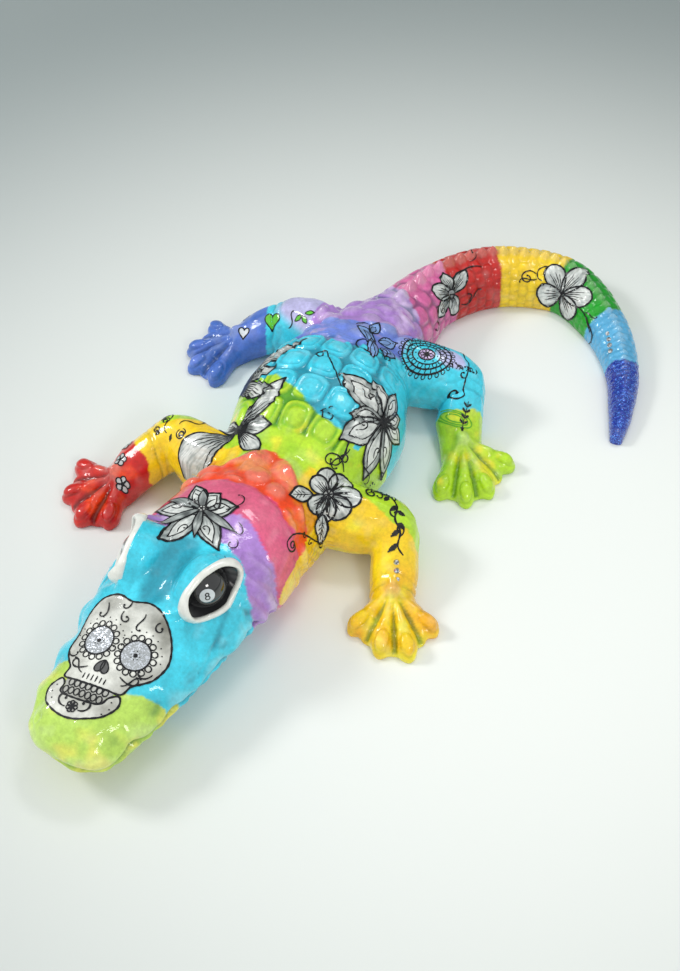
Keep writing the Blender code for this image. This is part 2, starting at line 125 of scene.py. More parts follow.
# Feet: the middle of the palm and the four toe tips, x, y.
FEET = {
    "front_left": {"palm": (103, -120), "toes": [(89, -149), (111, -157), (128, -152), (135, -129)]},
    "front_right": {"palm": (-100, -112), "toes": [(-92, -142), (-111, -148), (-130, -134), (-136, -108)]},
    "hind_left": {"palm": (96, 16), "toes": [(97, -26), (116, -25), (127, -11), (132, 18)]},
    "hind_right": {"palm": (-92, 43), "toes": [(-93, 4), (-114, 9), (-124, 25), (-121, 54)]},
}
TOE_RADIUS = 7.4
TOE_HEIGHT = 7.6
PALM_RADIUS = 15.0
PALM_HEIGHT = 9.0

HEAD_TURN = -6.0  # degrees about +Z
HEAD_MIDDLE = Vector((-9, -193, 0))
# Brow humps, in head space: the middle of the one on the +X side and its half axes.
BROW_MIDDLE = Vector((21, 5, 52))
BROW_AXES = (17, 24, 25)
EYE_MIDDLE = Vector((23, 4, 61))
EYE_OUT = Vector((0.88, -0.30, 0.37)).normalized()  # the way the eye on the +X side looks
EYE_CORNER = Vector((-0.24, -0.95, -0.23))  # towards the front corner of the lids
LID_SPREAD = (58, 72)  # degrees from the look direction to the lid, beside the eye and at its corners
CORNER_REACH = 0.1  # the lid runs this much further out at its corners
LID_POINTS = 28
LID_SIDES = 8

# Saws. A saw is a plane, (point), (direction of the block that comes off), then the peg's radius and half length.
JAW_TOP = 28.0
JAW_BACK = -168.0
JAW_PEGS = [(-28, -214), (8, -216)]
JAW_PEG = (3.0, 6.5)
NECK_SAW = ((-2, -158, 36), (0.05, -1, 0), 8.0, 20.0)
SHOULDER_SAW = ((4, -109, 31), (0.03, -1, 0), 9.0, 20.0)
ROOT_SAWS = {
    "front_left": ((58, -86, 26), (1, -0.15, 0), 6.0, 16.0),
    "front_right": ((-51, -82, 27), (-1, -0.1, 0), 6.0, 16.0),
    "hind_left": ((56, 54, 26), (1, 0.08, 0), 6.0, 15.0),
    "hind_right": ((-46, 60, 27), (-1, 0.1, 0), 5.0, 12.0),
}
ANKLE_SAWS = {
    "front_left": ((104, -124, 7.5), (0.4, -0.91, 0), 2.5, 6.0),
    "front_right": ((-88, -95, 17), (-0.6, -0.8, 0), 3.5, 9.0),
    "hind_left": ((87, 38, 14), (0.5, -0.87, 0), 3.5, 8.0),
    "hind_right": ((-73, 54, 16), (-0.93, -0.36, 0), 3.5, 8.0),
}
ROOT_SAW_HALF = 47.0  # reach of a limb saw to each side of its point
SAW_HALF = 48.0  # the same for the other small saws
ANKLE_SAW_HALF = {"front_left": 46, "front_right": 46, "hind_left": 38, "hind_right": 50}
SAW_LENGTH = 92.0  # reach beyond it
HEAD_SAW_HALF = 62.0
HEAD_SAW_LENGTH = 220.0
TAIL_NAMES = ["tail_pink", "tail_red", "tail_yellow", "tail_green", "tail_sky", "tail_tip"]
TAIL_SAWS = [19.05, 20.12, 21.05, 22.0, 23.0, 24.0]  # spine parameters


def catmull_rom(rows, t):
    """The row at parameter t (0 to len - 1) on a smooth curve through rows of numbers."""
    last = len(rows) - 1
    i = min(int(t), last - 1)
    f = t - i
    a, b, c, d = (rows[max(0, min(last, j))] for j in (i - 1, i, i + 1, i + 2))
    return [
        0.5 * (2 * q + (r - p) * f + (2 * p - 5 * q + 4 * r - s) * f * f + (3 * q - p - 3 * r + s) * f ** 3)
        for p, q, r, s in zip(a, b, c, d)
    ]


def spine_at(t):
    """Middle point, heading in plan, half width, lowest and highest z at spine parameter t."""
    x, y, half, low, high = catmull_rom(SPINE, t)
    before = catmull_rom(SPINE, max(0, t - 0.2))
    after = catmull_rom(SPINE, min(len(SPINE) - 1, t + 0.2))
    heading = Vector((after[0] - before[0], after[1] - before[1], 0)).normalized()
    return Vector((x, y, 0)), heading, max(half, 1.0), low, high


def signed_power(value, exponent):
    return math.copysign(abs(value) ** exponent, value)


def spine_ring(t, points=RING_POINTS):
    """One cross-section of the trunk: a superellipse that is widest below its middle."""
    middle, heading, half, low, high = spine_at(t)
    side = Vector((heading.y, -heading.x, 0))
    waist = low + WIDEST_AT * (high - low)
    ring = []
    for k in range(points):
        angle = 2 * math.pi * k / points
        across = half * signed_power(math.cos(angle), ROUNDNESS)
        rise = signed_power(math.sin(angle), ROUNDNESS)
        z = waist + rise * ((high - waist) if rise > 0 else (waist - low))
        ring.append(middle + side * across + Vector((0, 0, z)))
    return ring


def add_trunk(bm):
    """The closed loft of all spine rings."""
    rings = []
    for i in range(len(SPINE) - 1):
        gap = (Vector(SPINE[i + 1][:2]) - Vector(SPINE[i][:2])).length
        steps = max(2, round(gap / RING_SPACING))
        rings += [spine_ring(i + k / steps) for k in range(steps)]
    rings.append(spine_ring(len(SPINE) - 1))
    rows = [[bm.verts.new(p) for p in ring] for ring in rings]
    for a, b in zip(rows, rows[1:]):
        for k in range(RING_POINTS):
            j = (k + 1) % RING_POINTS
            bm.faces.new((a[k], a[j], b[j], b[k]))
    bm.faces.new(rows[0][::-1])
    bm.faces.new(rows[-1])


def add_bead(bm, x, y, z, radius, height):
    """An ellipsoid: radius in plan, height is its vertical half axis."""
    place = Matrix.Translation((x, y, z)) @ Matrix.Diagonal((radius, radius, height, 1))
    bmesh.ops.create_icosphere(bm, subdivisions=2, radius=1, matrix=place)


def add_chain(bm, beads, step=3.0):
    """Beads strung closely along a smooth curve through the given ones."""
    for i in range(len(beads) - 1):
        gap = (Vector(beads[i + 1][:3]) - Vector(beads[i][:3])).length
        count = max(1, round(gap / step))
        for k in range(count + (i == len(beads) - 2)):
            add_bead(bm, *catmull_rom(beads, i + k / count))


def add_foot(bm, foot, ankle):
    """A webbed foot: ankle, palm and four toes with thick pads at their tips."""
    palm = Vector((*foot["palm"], 6))
    add_chain(bm, [ankle, (*palm, PALM_RADIUS, PALM_HEIGHT + 2)])
    tips = [Vector((*toe, 3)) for toe in foot["toes"]]
    for tip in tips:
        root = palm.lerp(tip, 0.2)
        knuckle = palm.lerp(tip, 0.62)
        add_chain(bm, [
            (*root.xy, 7, TOE_RADIUS + 1, PALM_HEIGHT),
            (*knuckle.xy, 5, TOE_RADIUS - 0.4, TOE_HEIGHT + 1.2),
            (*palm.lerp(tip, 0.86).xy, 4, TOE_RADIUS, TOE_HEIGHT + 1),
            (*palm.lerp(tip, 0.98).xy, 2, TOE_RADIUS * 0.62, TOE_HEIGHT * 0.75),
        ])
    for a, b in zip(tips, tips[1:]):
        web = (a + b) / 2
        add_chain(bm, [(*palm.xy, 4, PALM_RADIUS, PALM_HEIGHT), (*palm.lerp(web, 0.62).xy, 4, 9, 7.5),
                       (*palm.lerp(web, 0.84).xy, 2, 7, 5.5)])


def head_matrix():
    """Head space, with its origin between the eyes on the ground, to the row frame, in millimetres."""
    return Matrix.Translation(HEAD_MIDDLE) @ Matrix.Rotation(math.radians(HEAD_TURN), 4, "Z")


def mirrored(vector, side):
    """The vector as it is for side 1 (+X), or mirrored in x for side -1."""
    return Vector((side * vector.x, vector.y, vector.z))


def add_brows(bm):
    for side in (1, -1):
        place = head_matrix() @ Matrix.Translation(mirrored(BROW_MIDDLE, side))
        bmesh.ops.create_icosphere(bm, subdivisions=3, radius=1, matrix=place @ Matrix.Diagonal((*BROW_AXES, 1)))


def eye_axes(side):
    """The ball's middle, its look direction and the direction to the front corner, in the row frame."""
    place = head_matrix()
    turn = place.to_3x3()
    look = turn @ mirrored(EYE_OUT, side)
    corner = turn @ mirrored(EYE_CORNER, side)
    corner = (corner - look * corner.dot(look)).normalized()
    return place @ mirrored(EYE_MIDDLE, side), look, corner


def lid_path(side, count):
    """Points round the lid, each with the way outwards and the way along the brow. The roll lies on the brow."""
    middle, look, corner = eye_axes(side)
    across = look.cross(corner)
    narrow, wide = (math.radians(a) for a in LID_SPREAD)
    brow = head_matrix() @ Matrix.Translation(mirrored(BROW_MIDDLE, side)) @ Matrix.Diagonal((*BROW_AXES, 1))
    inside = brow.inverted()
    start = inside @ middle
    found = []
    for k in range(count):
        around = 2 * math.pi * k / count
        pull = abs(math.cos(around))
        spread = narrow + (wide - narrow) * pull ** 2.5
        outwards = corner * math.cos(around) + across * math.sin(around)
        radial = look * math.cos(spread) + outwards * math.sin(spread)
        along = outwards * math.cos(spread) - look * math.sin(spread)
        step = inside.to_3x3() @ radial
        a, b, c = step.dot(step), start.dot(step), start.dot(start) - 1
        to_brow = (math.sqrt(b * b - a * c) - b) / a
        reach = min(max(LID_DISTANCE, to_brow), LID_DISTANCE + 2.5) + 5 * pull ** 5
        found.append((middle + radial * reach, radial, along))
    return found




# ---------------------------------------------------------------- numbers
def smooth(low, high, x):
    """0 below low, 1 above high, and a soft step between."""
    t = np.clip((x - low) / (high - low), 0, 1)
    return t * t * (3 - 2 * t)


def noise(points, size, seed=0):
    """Smooth noise in -1 to 1 with features of the given size."""
    q = points / size + 100.0 + seed * 17.3
    cell = np.floor(q).astype(np.int64)
    f = q - cell
    f = f * f * (3 - 2 * f)
    total = 0
    for dx in (0, 1):
        for dy in (0, 1):
            for dz in (0, 1):
                c = cell + np.array((dx, dy, dz))
                h = (c[:, 0] * 73856093) ^ (c[:, 1] * 19349663) ^ (c[:, 2] * 83492791) ^ (seed * 2654435)
                h = ((h ^ (h >> 13)) * 1274126177) & 0x7FFFFFFF
                value = h / 0x3FFFFFFF - 1.0
                wx = f[:, 0] if dx else 1 - f[:, 0]
                wy = f[:, 1] if dy else 1 - f[:, 1]
                wz = f[:, 2] if dz else 1 - f[:, 2]
                total = total + value * wx * wy * wz
    return total


def pillow(x, y, edge=0.82, power=4):
    """A raised rounded square on the cell -1..1, 0 at its rim."""
    r = (np.abs(x) ** power + np.abs(y) ** power) ** (1 / power)
    return 1 - smooth(edge, 1.0, r), r


# ---------------------------------------------------------------- the bare skin
def bare_skin():
    """Points (mm) and faces of the fused and smoothed skin."""
    bm = bmesh.new()
    add_trunk(bm)
    add_brows(bm)
    for name, beads in LIMBS.items():
        add_chain(bm, beads)
        add_foot(bm, FEET[name], beads[-1])
    bmesh.ops.scale(bm, vec=(MM, MM, MM), verts=bm.verts)
    mesh = bpy.data.meshes.new("rough")
    bm.to_mesh(mesh)
    bm.free()
    rough = bpy.data.objects.new("rough", mesh)
    bpy.context.scene.collection.objects.link(rough)
    fuse = rough.modifiers.new("fuse", "REMESH")
    fuse.mode = "VOXEL"
    fuse.voxel_size = VOXEL * MM
    sand = rough.modifiers.new("sand", "SMOOTH")
    sand.iterations = round(14 * (1.25 / VOXEL) ** 2)
    bpy.context.view_layer.update()
    graph = bpy.context.evaluated_depsgraph_get()
    mesh = bpy.data.meshes.new_from_object(rough.evaluated_get(graph))
    bpy.data.objects.remove(rough)
    points = np.empty(len(mesh.vertices) * 3)
    mesh.vertices.foreach_get("co", points)
    loops = np.empty(len(mesh.loops), np.int64)
    mesh.loops.foreach_get("vertex_index", loops)
    faces = loops.reshape(-1, 4)
    return points.reshape(-1, 3) / MM, faces


def normals_of(points, faces):
    """Vertex normals, weighted by area."""
    a, b, c, d = (points[faces[:, k]] for k in range(4))
    cross = np.cross(c - a, d - b)
    total = np.zeros_like(points)
    for k in range(4):
        np.add.at(total, faces[:, k], cross)
    return total / (np.linalg.norm(total, axis=1)[:, None] + 1e-12)


def spine_table():
    """The spine sampled about every millimetre."""
    rows = []
    for i in range(len(SPINE) - 1):
        gap = (Vector(SPINE[i + 1][:2]) - Vector(SPINE[i][:2])).length
        steps = max(2, round(gap))
        for k in range(steps):
            middle, heading, half, low, high = spine_at(i + k / steps)
            rows.append((i + k / steps, middle.x, middle.y, heading.x, heading.y, half, low, high))
    table = np.array(rows)
    steps = np.hypot(np.diff(table[:, 1]), np.diff(table[:, 2]))
    return table, np.concatenate([[0], np.cumsum(steps)])


class Place:
    """Where each skin point is on the animal: t, s (mm along), u (mm to its left), angle round, height share."""

    def __init__(self, points):
        table, along = spine_table()
        nearest = np.empty(len(points), np.int64)
        for i in range(0, len(points), 4000):
            d = points[i:i + 4000, None, :2] - table[None, :, 1:3]
            nearest[i:i + 4000] = np.argmin((d ** 2).sum(2), axis=1)
        row = table[nearest]
        d = points[:, :2] - row[:, 1:3]
        self.t = row[:, 0]
        ahead = d[:, 0] * row[:, 3] + d[:, 1] * row[:, 4]
        self.s = along[nearest] + ahead
        self.u = d[:, 0] * row[:, 4] - d[:, 1] * row[:, 3]
        self.half = row[:, 5]
        self.high = row[:, 7]
        waist = row[:, 6] + WIDEST_AT * (row[:, 7] - row[:, 6])
        self.angle = np.arctan2(points[:, 2] - waist, self.u)
        self.size = (self.half + self.high * 0.6) / 2
        self.top = points[:, 2] / self.high
        self.x, self.y, self.z = points.T


def beyond(points, saw, half, length=SAW_LENGTH):
    """How far each point is beyond a saw plane, where it is within the saw's reach; elsewhere negative."""
    point, direction = Vector(saw[0]), Vector(saw[1]).normalized()
    side = Vector((0, 0, 1)).cross(direction)
    d = points - np.array(point)
    ahead = d @ np.array(direction)
    across = np.abs(d @ np.array(side))
    return np.where((across < half) & (ahead < length), ahead, -np.abs(ahead) - 1)


def block_of(points, place):
    """The number of the CAD block that each point belongs to, and the blocks' names."""
    names = ["torso"]
    block = np.zeros(len(points), np.int64)
    for limb in LIMBS:
        front, side = limb.split("_")
        foot = beyond(points, ANKLE_SAWS[limb], ANKLE_SAW_HALF[limb]) > 0
        leg = (beyond(points, ROOT_SAWS[limb], ROOT_SAW_HALF) > 0) & ~foot
        for found, kind in ((foot, "foot"), (leg, "leg")):
            names.append(f"{front}_{kind}_{side}")
            block[found] = len(names) - 1
    free = (block == 0) & (place.y > 60)
    for k, name in enumerate(TAIL_NAMES):
        names.append(name)
        block[free & (place.t >= TAIL_SAWS[k])] = len(names) - 1
    free = (block == 0) & (beyond(points, SHOULDER_SAW, HEAD_SAW_HALF, 300) > 0)
    names += ["neck", "head", "lower_jaw"]
    block[free] = len(names) - 3
    head = free & (beyond(points, NECK_SAW, HEAD_SAW_HALF, 300) > 0)
    block[head] = len(names) - 2
    block[head & (place.z < JAW_TOP) & (place.y < JAW_BACK)] = len(names) - 1
    return block, names


# ---------------------------------------------------------------- sculpting: each returns a height in mm
def cells(row, across, stagger=0.5):
    """Local coordinates -1..1 in a brick pattern, and a number for each cell."""
    k = np.floor(row)
    shifted = across + stagger * (k % 2)
    m = np.floor(shifted)
    return 2 * (row - k) - 1, 2 * (shifted - m) - 1, k * 131 + m


def scute_cells(at):
    """The square scutes of the back: their body, the distance from each one's middle, and where they are."""
    row = (at.y + 69 + 0.05 * np.abs(at.u) ** 1.1) / 22.5
    across = at.u / (at.half * 0.40) + 0.5
    a, b, _ = cells(row, across, 0.0)
    body, r = pillow(a, b, 0.7, 3.2)
    where = smooth(-70, -64, at.y) * (1 - smooth(22, 30, at.y))
    where = where * (1 - smooth(0.74, 0.86, np.abs(at.u) / at.half)) * (at.z > 30)
    return body, r, where


def back_scutes(at):
    """Rows of square pillows on the back, each with a pressed ring."""
    body, r, where = scute_cells(at)
    ring = np.exp(-((r - 0.62) / 0.12) ** 2)
    dome = np.clip(1 - r * 1.6, 0, 1) ** 0.5
    flat = np.minimum(body, 0.55) / 0.55
    return where * (2.4 * flat - 1.2 * ring + 0.3 * dome - 1.3)


def bubbles(at, points, size, seed, height):
    """Irregular rounded bumps, one per cell of a jittered lattice."""
    q = points / size
    best = np.full(len(q), 9.0)
    base = np.floor(q)
    for dx in (-1, 0, 1):
        for dy in (-1, 0, 1):
            for dz in (-1, 0, 1):
                c = base + np.array((dx, dy, dz))
                jitter = np.stack([np.sin(c @ np.array(k) + seed) for k in
                                   ((12.9, 78.2, 37.7), (39.3, 11.1, 83.1), (73.2, 52.2, 9.15))], axis=1) * 0.32
                best = np.minimum(best, ((q - c - 0.5 - jitter) ** 2).sum(1))
    return height * (1 - smooth(0.0, 0.42, best))


def tail_scales(at, points):
    """Brick rows of scales that shrink towards the tip, and a toothed crest along the top."""
    size = np.interp(at.t, [17, 19, 20.1, 21, 22, 23, 24, 26], [15, 14, 10.5, 8.6, 7.4, 6.2, 4.6, 3.4])
    table, along = spine_table()
    cell = np.interp(table[:, 0], [17, 19, 20.1, 21, 22, 23, 24, 26], [15, 14, 10.5, 8.6, 7.4, 6.2, 4.6, 3.4])
    phase = np.concatenate([[0], np.cumsum(np.diff(along) / cell[1:])])
    row = np.interp(at.s, along, phase)
    round_girth = (at.angle - math.pi / 2) * at.size
    across = round_girth / size
    a, b, _ = cells(row, across + 0.25, 0.5)
    body, r = pillow(a, b, 0.62, 3)
    where = smooth(18.1, 18.6, at.t) * smooth(0.5, 3.0, at.z)
    depth = np.interp(at.t, [18, 19.5, 21, 24, 26], [1.5, 1.4, 0.8, 0.6, 0.35])
    scales = where * depth * (body - 0.8)
    tooth = np.abs(((row * 1.0) % 1.0) - 0.45) * 2
    peak = np.clip(1 - tooth * 1.1, 0, 1) ** 0.7
    ridge_width = np.interp(at.t, [18, 20, 26], [5.0, 3.4, 2.0])
    keel = np.exp(-((at.u) / ridge_width) ** 2) * smooth(0.7, 0.9, at.top)
    rise = np.interp(at.t, [18.3, 19.2, 20, 21, 23, 24.5, 26], [3.0, 6.4, 7.0, 5.6, 3.8, 1.6, 0.2])
    crest = where * keel * (0.5 + 0.8 * peak) * rise
    return scales + crest


def neck_details(at, points):
    """The bumpy nape, the rounded collar, the cheek folds and the net of small scales on the neck's sides."""
    rim = np.abs(at.u) / at.half
    total = np.zeros(len(points))
    front = -119 - 18 * rim ** 2
    back = -87 - 44 * rim ** 1.7
    nape = smooth(front - 2, front + 4, at.y) * (1 - smooth(back - 3, back + 3, at.y)) * (at.z > 26)
    total += nape * (bubbles(at, points, 15.0, 3, 3.4) + 0.6)
    pairs = np.exp(-((np.abs(at.u - 2) - 11) / 7.5) ** 2 - ((at.y + 93) / 8.0) ** 2)
    total += 6.0 * pairs * (at.z > 40)
    collar_front = -143 - 22 * rim ** 2
    collar = smooth(collar_front - 2, collar_front + 3, at.y) * (1 - smooth(front - 3, front + 1, at.y))
    total += 1.6 * collar * (at.z > 16)
    lilac = smooth(-175 - 22 * rim ** 2, -168 - 22 * rim ** 2, at.y) * (1 - smooth(collar_front - 3, collar_front, at.y))
    fold = np.sin((at.y + 0.25 * at.z + 4 * noise(points, 18, 4)) / 11.5 * 2 * math.pi)
    total += lilac * smooth(0.45, 0.75, rim) * (1.1 * fold + 0.6) * (at.z > 8)
    net = smooth(back - 1, back + 5, at.y) * smooth(0.72, 0.85, rim) * (1 - smooth(-78, -70, at.y)) * (at.z > 4)
    a, b, _ = cells((at.y + 0.5 * at.z) / 6.2, (at.z * 1.1 - 0.5 * at.y) / 6.2, 0.5)
    body, _ = pillow(a, b, 0.6, 2.6)
    total += net * (at.y < -70) * (0.75 * body - 0.4)
    return total


def mouth_wave(y):
    """Height of the mouth line along the jaw: scallops under the eye, straighter towards the snout."""
    return 27 + 2.8 * np.sin((y + 198) / 31 * 2 * math.pi) + 0.7 * np.sin((y + 190) / 14 * 2 * math.pi)


def head_details(at, points, normals):
    """The mouth, lip lobes, teeth, brows, snout edge, nostrils and the hollow in front of each eye."""
    x = at.x - (-9) - (at.y + 193) * 0.105
    side = np.abs(normals[:, 2]) < 0.86
    front = at.y < -168
    line = at.z - mouth_wave(at.y)
    total = np.zeros(len(points))
    mouth = np.exp(-(line / 1.5) ** 2) * front * side
    total -= 3.0 * mouth
    total += 1.8 * np.exp(-((line - 5.5) / 4.0) ** 2) * front * side
    tooth = np.abs(np.sin((at.y + 3) / 9.0 * math.pi)) ** 3
    below = np.exp(-((line + 3.2) / 2.0) ** 2)
    total += 0.9 * below * (1 - tooth) * front * side * (at.y < -180)
    lobe = np.sin((at.y + 205) / 26 * 2 * math.pi)
    total += 1.4 * np.exp(-((line - 9) / 7.5) ** 2) * lobe * front * side * (1 - smooth(-180, -172, at.y))
    fold = np.exp(-((at.z - 0.45 * (at.y + 230) - 36) / 2.2) ** 2)
    total -= 1.3 * fold * (at.y > -232) * (at.y < -196) * side * (at.z > 30)
    valley = np.exp(-(x / 8.0) ** 2) * smooth(-222, -205, at.y) * (1 - smooth(-178, -165, at.y)) * (at.z > 50)
    total -= 3.4 * valley
    for s in (1, -1):
        nostril = np.exp(-(((x - s * 13) / 5.5) ** 2 + ((at.y + 292) / 6.5) ** 2)) * (at.z > 36)
        total += 1.6 * nostril
        hole = np.exp(-(((x - s * 14) / 2.2) ** 2 + ((at.y + 296) / 2.6) ** 2)) * (at.z > 34)
        total -= 1.4 * hole
    total += 0.35 * bubbles(at, points, 11.0, 7, 1.0) * (at.y < -262) * side
    return total


def limb_details(at, points, normals):
    """Tendons and grooves between the toes, nails, and creases across the toes and at the wrists."""
    total = np.zeros(len(points))
    for limb, foot in FEET.items():
        palm = np.array(foot["palm"], float)
        near = np.hypot(at.x - palm[0], at.y - palm[1]) < 62
        foot_side = beyond(points, ANKLE_SAWS[limb], 60, 80)
        for toe in foot["toes"]:
            tip = np.array(toe, float)
            axis = (tip - palm) / np.linalg.norm(tip - palm)
            length = np.linalg.norm(tip - palm)
            dx = at.x - palm[0]
            dy = at.y - palm[1]
            forward = dx * axis[0] + dy * axis[1]
            off = dx * axis[1] - dy * axis[0]
            up = smooth(0.1, 0.5, normals[:, 2])
            tendon = np.exp(-(off / 3.0) ** 2) * smooth(-8, 4, forward) * (1 - smooth(length * 0.5, length * 0.8, forward))
            total += 1.7 * tendon * near * up
            centre = length - 5.0
            e = np.sqrt(((forward - centre) / 6.6) ** 2 + (off / 4.2) ** 2)
            total += 0.9 * (1 - smooth(0.8, 1.0, e)) * near * up
            total -= 0.7 * np.exp(-((e - 1.12) / 0.12) ** 2) * near * up
            crease = np.exp(-((forward - length * 0.62) / 1.2) ** 2) * (np.abs(off) < 7)
            total -= 0.5 * crease * near * up
        toes = foot["toes"]
        for a, b in zip(toes, toes[1:]):
            gap = (np.array(a, float) + np.array(b, float)) / 2
            axis = (gap - palm) / np.linalg.norm(gap - palm)
            length = np.linalg.norm(gap - palm)
            dx = at.x - palm[0]
            dy = at.y - palm[1]
            forward = dx * axis[0] + dy * axis[1]
            off = dx * axis[1] - dy * axis[0]
            groove = np.exp(-(off / 1.5) ** 2) * smooth(0, 9, forward)
            total -= 2.2 * groove * near * smooth(0.0, 0.4, normals[:, 2])
        wrist = foot_side + 1.5 * noise(points, 9, 5)
        for k, depth in ((5, 0.9), (10, 0.6)):
            total -= depth * np.exp(-((wrist + k) / 0.9) ** 2) * (foot_side > -30) * near
    return total


def meet_the_lids(points):
    """Planes the skin down to the lid all the way round, and lifts it where the lid would stand off it."""
    for side in (1, -1):
        middle, look, corner = eye_axes(side)
        across = look.cross(corner)
        d = points - np.array(middle)
        ahead = d @ np.array(look)
        flat = d - ahead[:, None] * np.array(look)
        out = np.linalg.norm(flat, axis=1)
        around = np.arctan2(flat @ np.array(across), flat @ np.array(corner)) % (2 * math.pi)
        lid = np.array([tuple(centre - middle) for centre, _, _ in lid_path(side, 72)])
        lid = np.concatenate([lid, lid[:1]])
        lid_ahead = lid @ np.array(look)
        lid_out = np.sqrt((lid ** 2).sum(1) - lid_ahead ** 2)
        turns = np.arange(73) * 2 * math.pi / 72
        plane = np.interp(around, turns, lid_ahead)
        edge_at = np.interp(around, turns, lid_out)
        limit = plane - 0.3 + 0.5 * np.maximum(0, out - edge_at) ** 1.15 - 2.6 * np.maximum(0, edge_at - out)
        over = np.maximum(0, ahead - limit) * (1 - smooth(24, 40, out - edge_at))
        rise = np.maximum(0, plane - 0.6 - ahead) * (1 - smooth(0, 11, out - edge_at)) * (out > edge_at - 3)
        rise *= (ahead > plane - 9)
        points = points - (over - rise)[:, None] * np.array(look)
    return points


def sculpt(points, faces):
    """The sculpted points, and how far each was moved, for the painted shade in the grooves and the painted highlight
    on the raised parts.
    """
    normals = normals_of(points, faces)
    at = Place(points)
    height = back_scutes(at)
    on_back = smooth(24, 34, at.y) * (1 - smooth(17.9, 18.5, at.t)) * (np.abs(at.u) < at.half * 0.9) * (at.z > 26)
    height += on_back * bubbles(at, points, 15.5, 1, 3.0)
    height += tail_scales(at, points) * (at.y > 60)
    in_neck = (at.y < -70) & (np.abs(at.u) < at.half + 6)
    height += neck_details(at, points) * in_neck
    height += head_details(at, points, normals) * (at.y < -165) * (at.x < 60)
    height += limb_details(at, points, normals)
    height += 0.25 * noise(points, 14, 2) + 0.12 * noise(points, 5, 3)
    moved = points + normals * height[:, None]
    moved[:, 2] = np.maximum(moved[:, 2], 0.15)
    moved = meet_the_lids(moved)
    return moved, height, at, normals


# ---------------------------------------------------------------- paint (linear colours)
CYAN = (0.050, 0.64, 0.82)
CYAN_DEEP = (0.008, 0.25, 0.40)
LIME = (0.47, 0.74, 0.02)
LIME_DEEP = (0.11, 0.46, 0.008)
LEMON = (0.84, 0.80, 0.03)
YELLOW = (0.95, 0.62, 0.01)
GOLD = (0.86, 0.36, 0.008)
ORANGE = (0.90, 0.20, 0.008)
ORANGE_RED = (0.90, 0.065, 0.010)
RED = (0.58, 0.010, 0.006)
RED_DEEP = (0.26, 0.006, 0.008)
PINK = (0.74, 0.07, 0.20)
MAGENTA = (0.72, 0.03, 0.20)
TAIL_PINK = (0.70, 0.14, 0.36)
LILAC = (0.42, 0.22, 0.62)
LILAC_PALE = (0.62, 0.44, 0.74)
PERIWINKLE = (0.16, 0.24, 0.72)
SKY = (0.10, 0.42, 0.70)
BLUE = (0.065, 0.16, 0.56)
ROYAL = (0.010, 0.035, 0.36)
GREEN = (0.008, 0.34, 0.016)
WHITE = (0.86, 0.86, 0.82)


class Paint:
    """A colour per skin point, brushed on in layers."""

    def __init__(self, count):
        self.colour = np.zeros((count, 3))

    def brush(self, mask, colour):
        mask = np.clip(np.asarray(mask, float), 0, 1)[:, None]
        self.colour = self.colour * (1 - mask) + np.array(colour) * mask


def edge(value, soft=0.5):
    """A painted edge: 1 where value is positive, with a narrow soft step."""
    return smooth(-soft, soft, value)


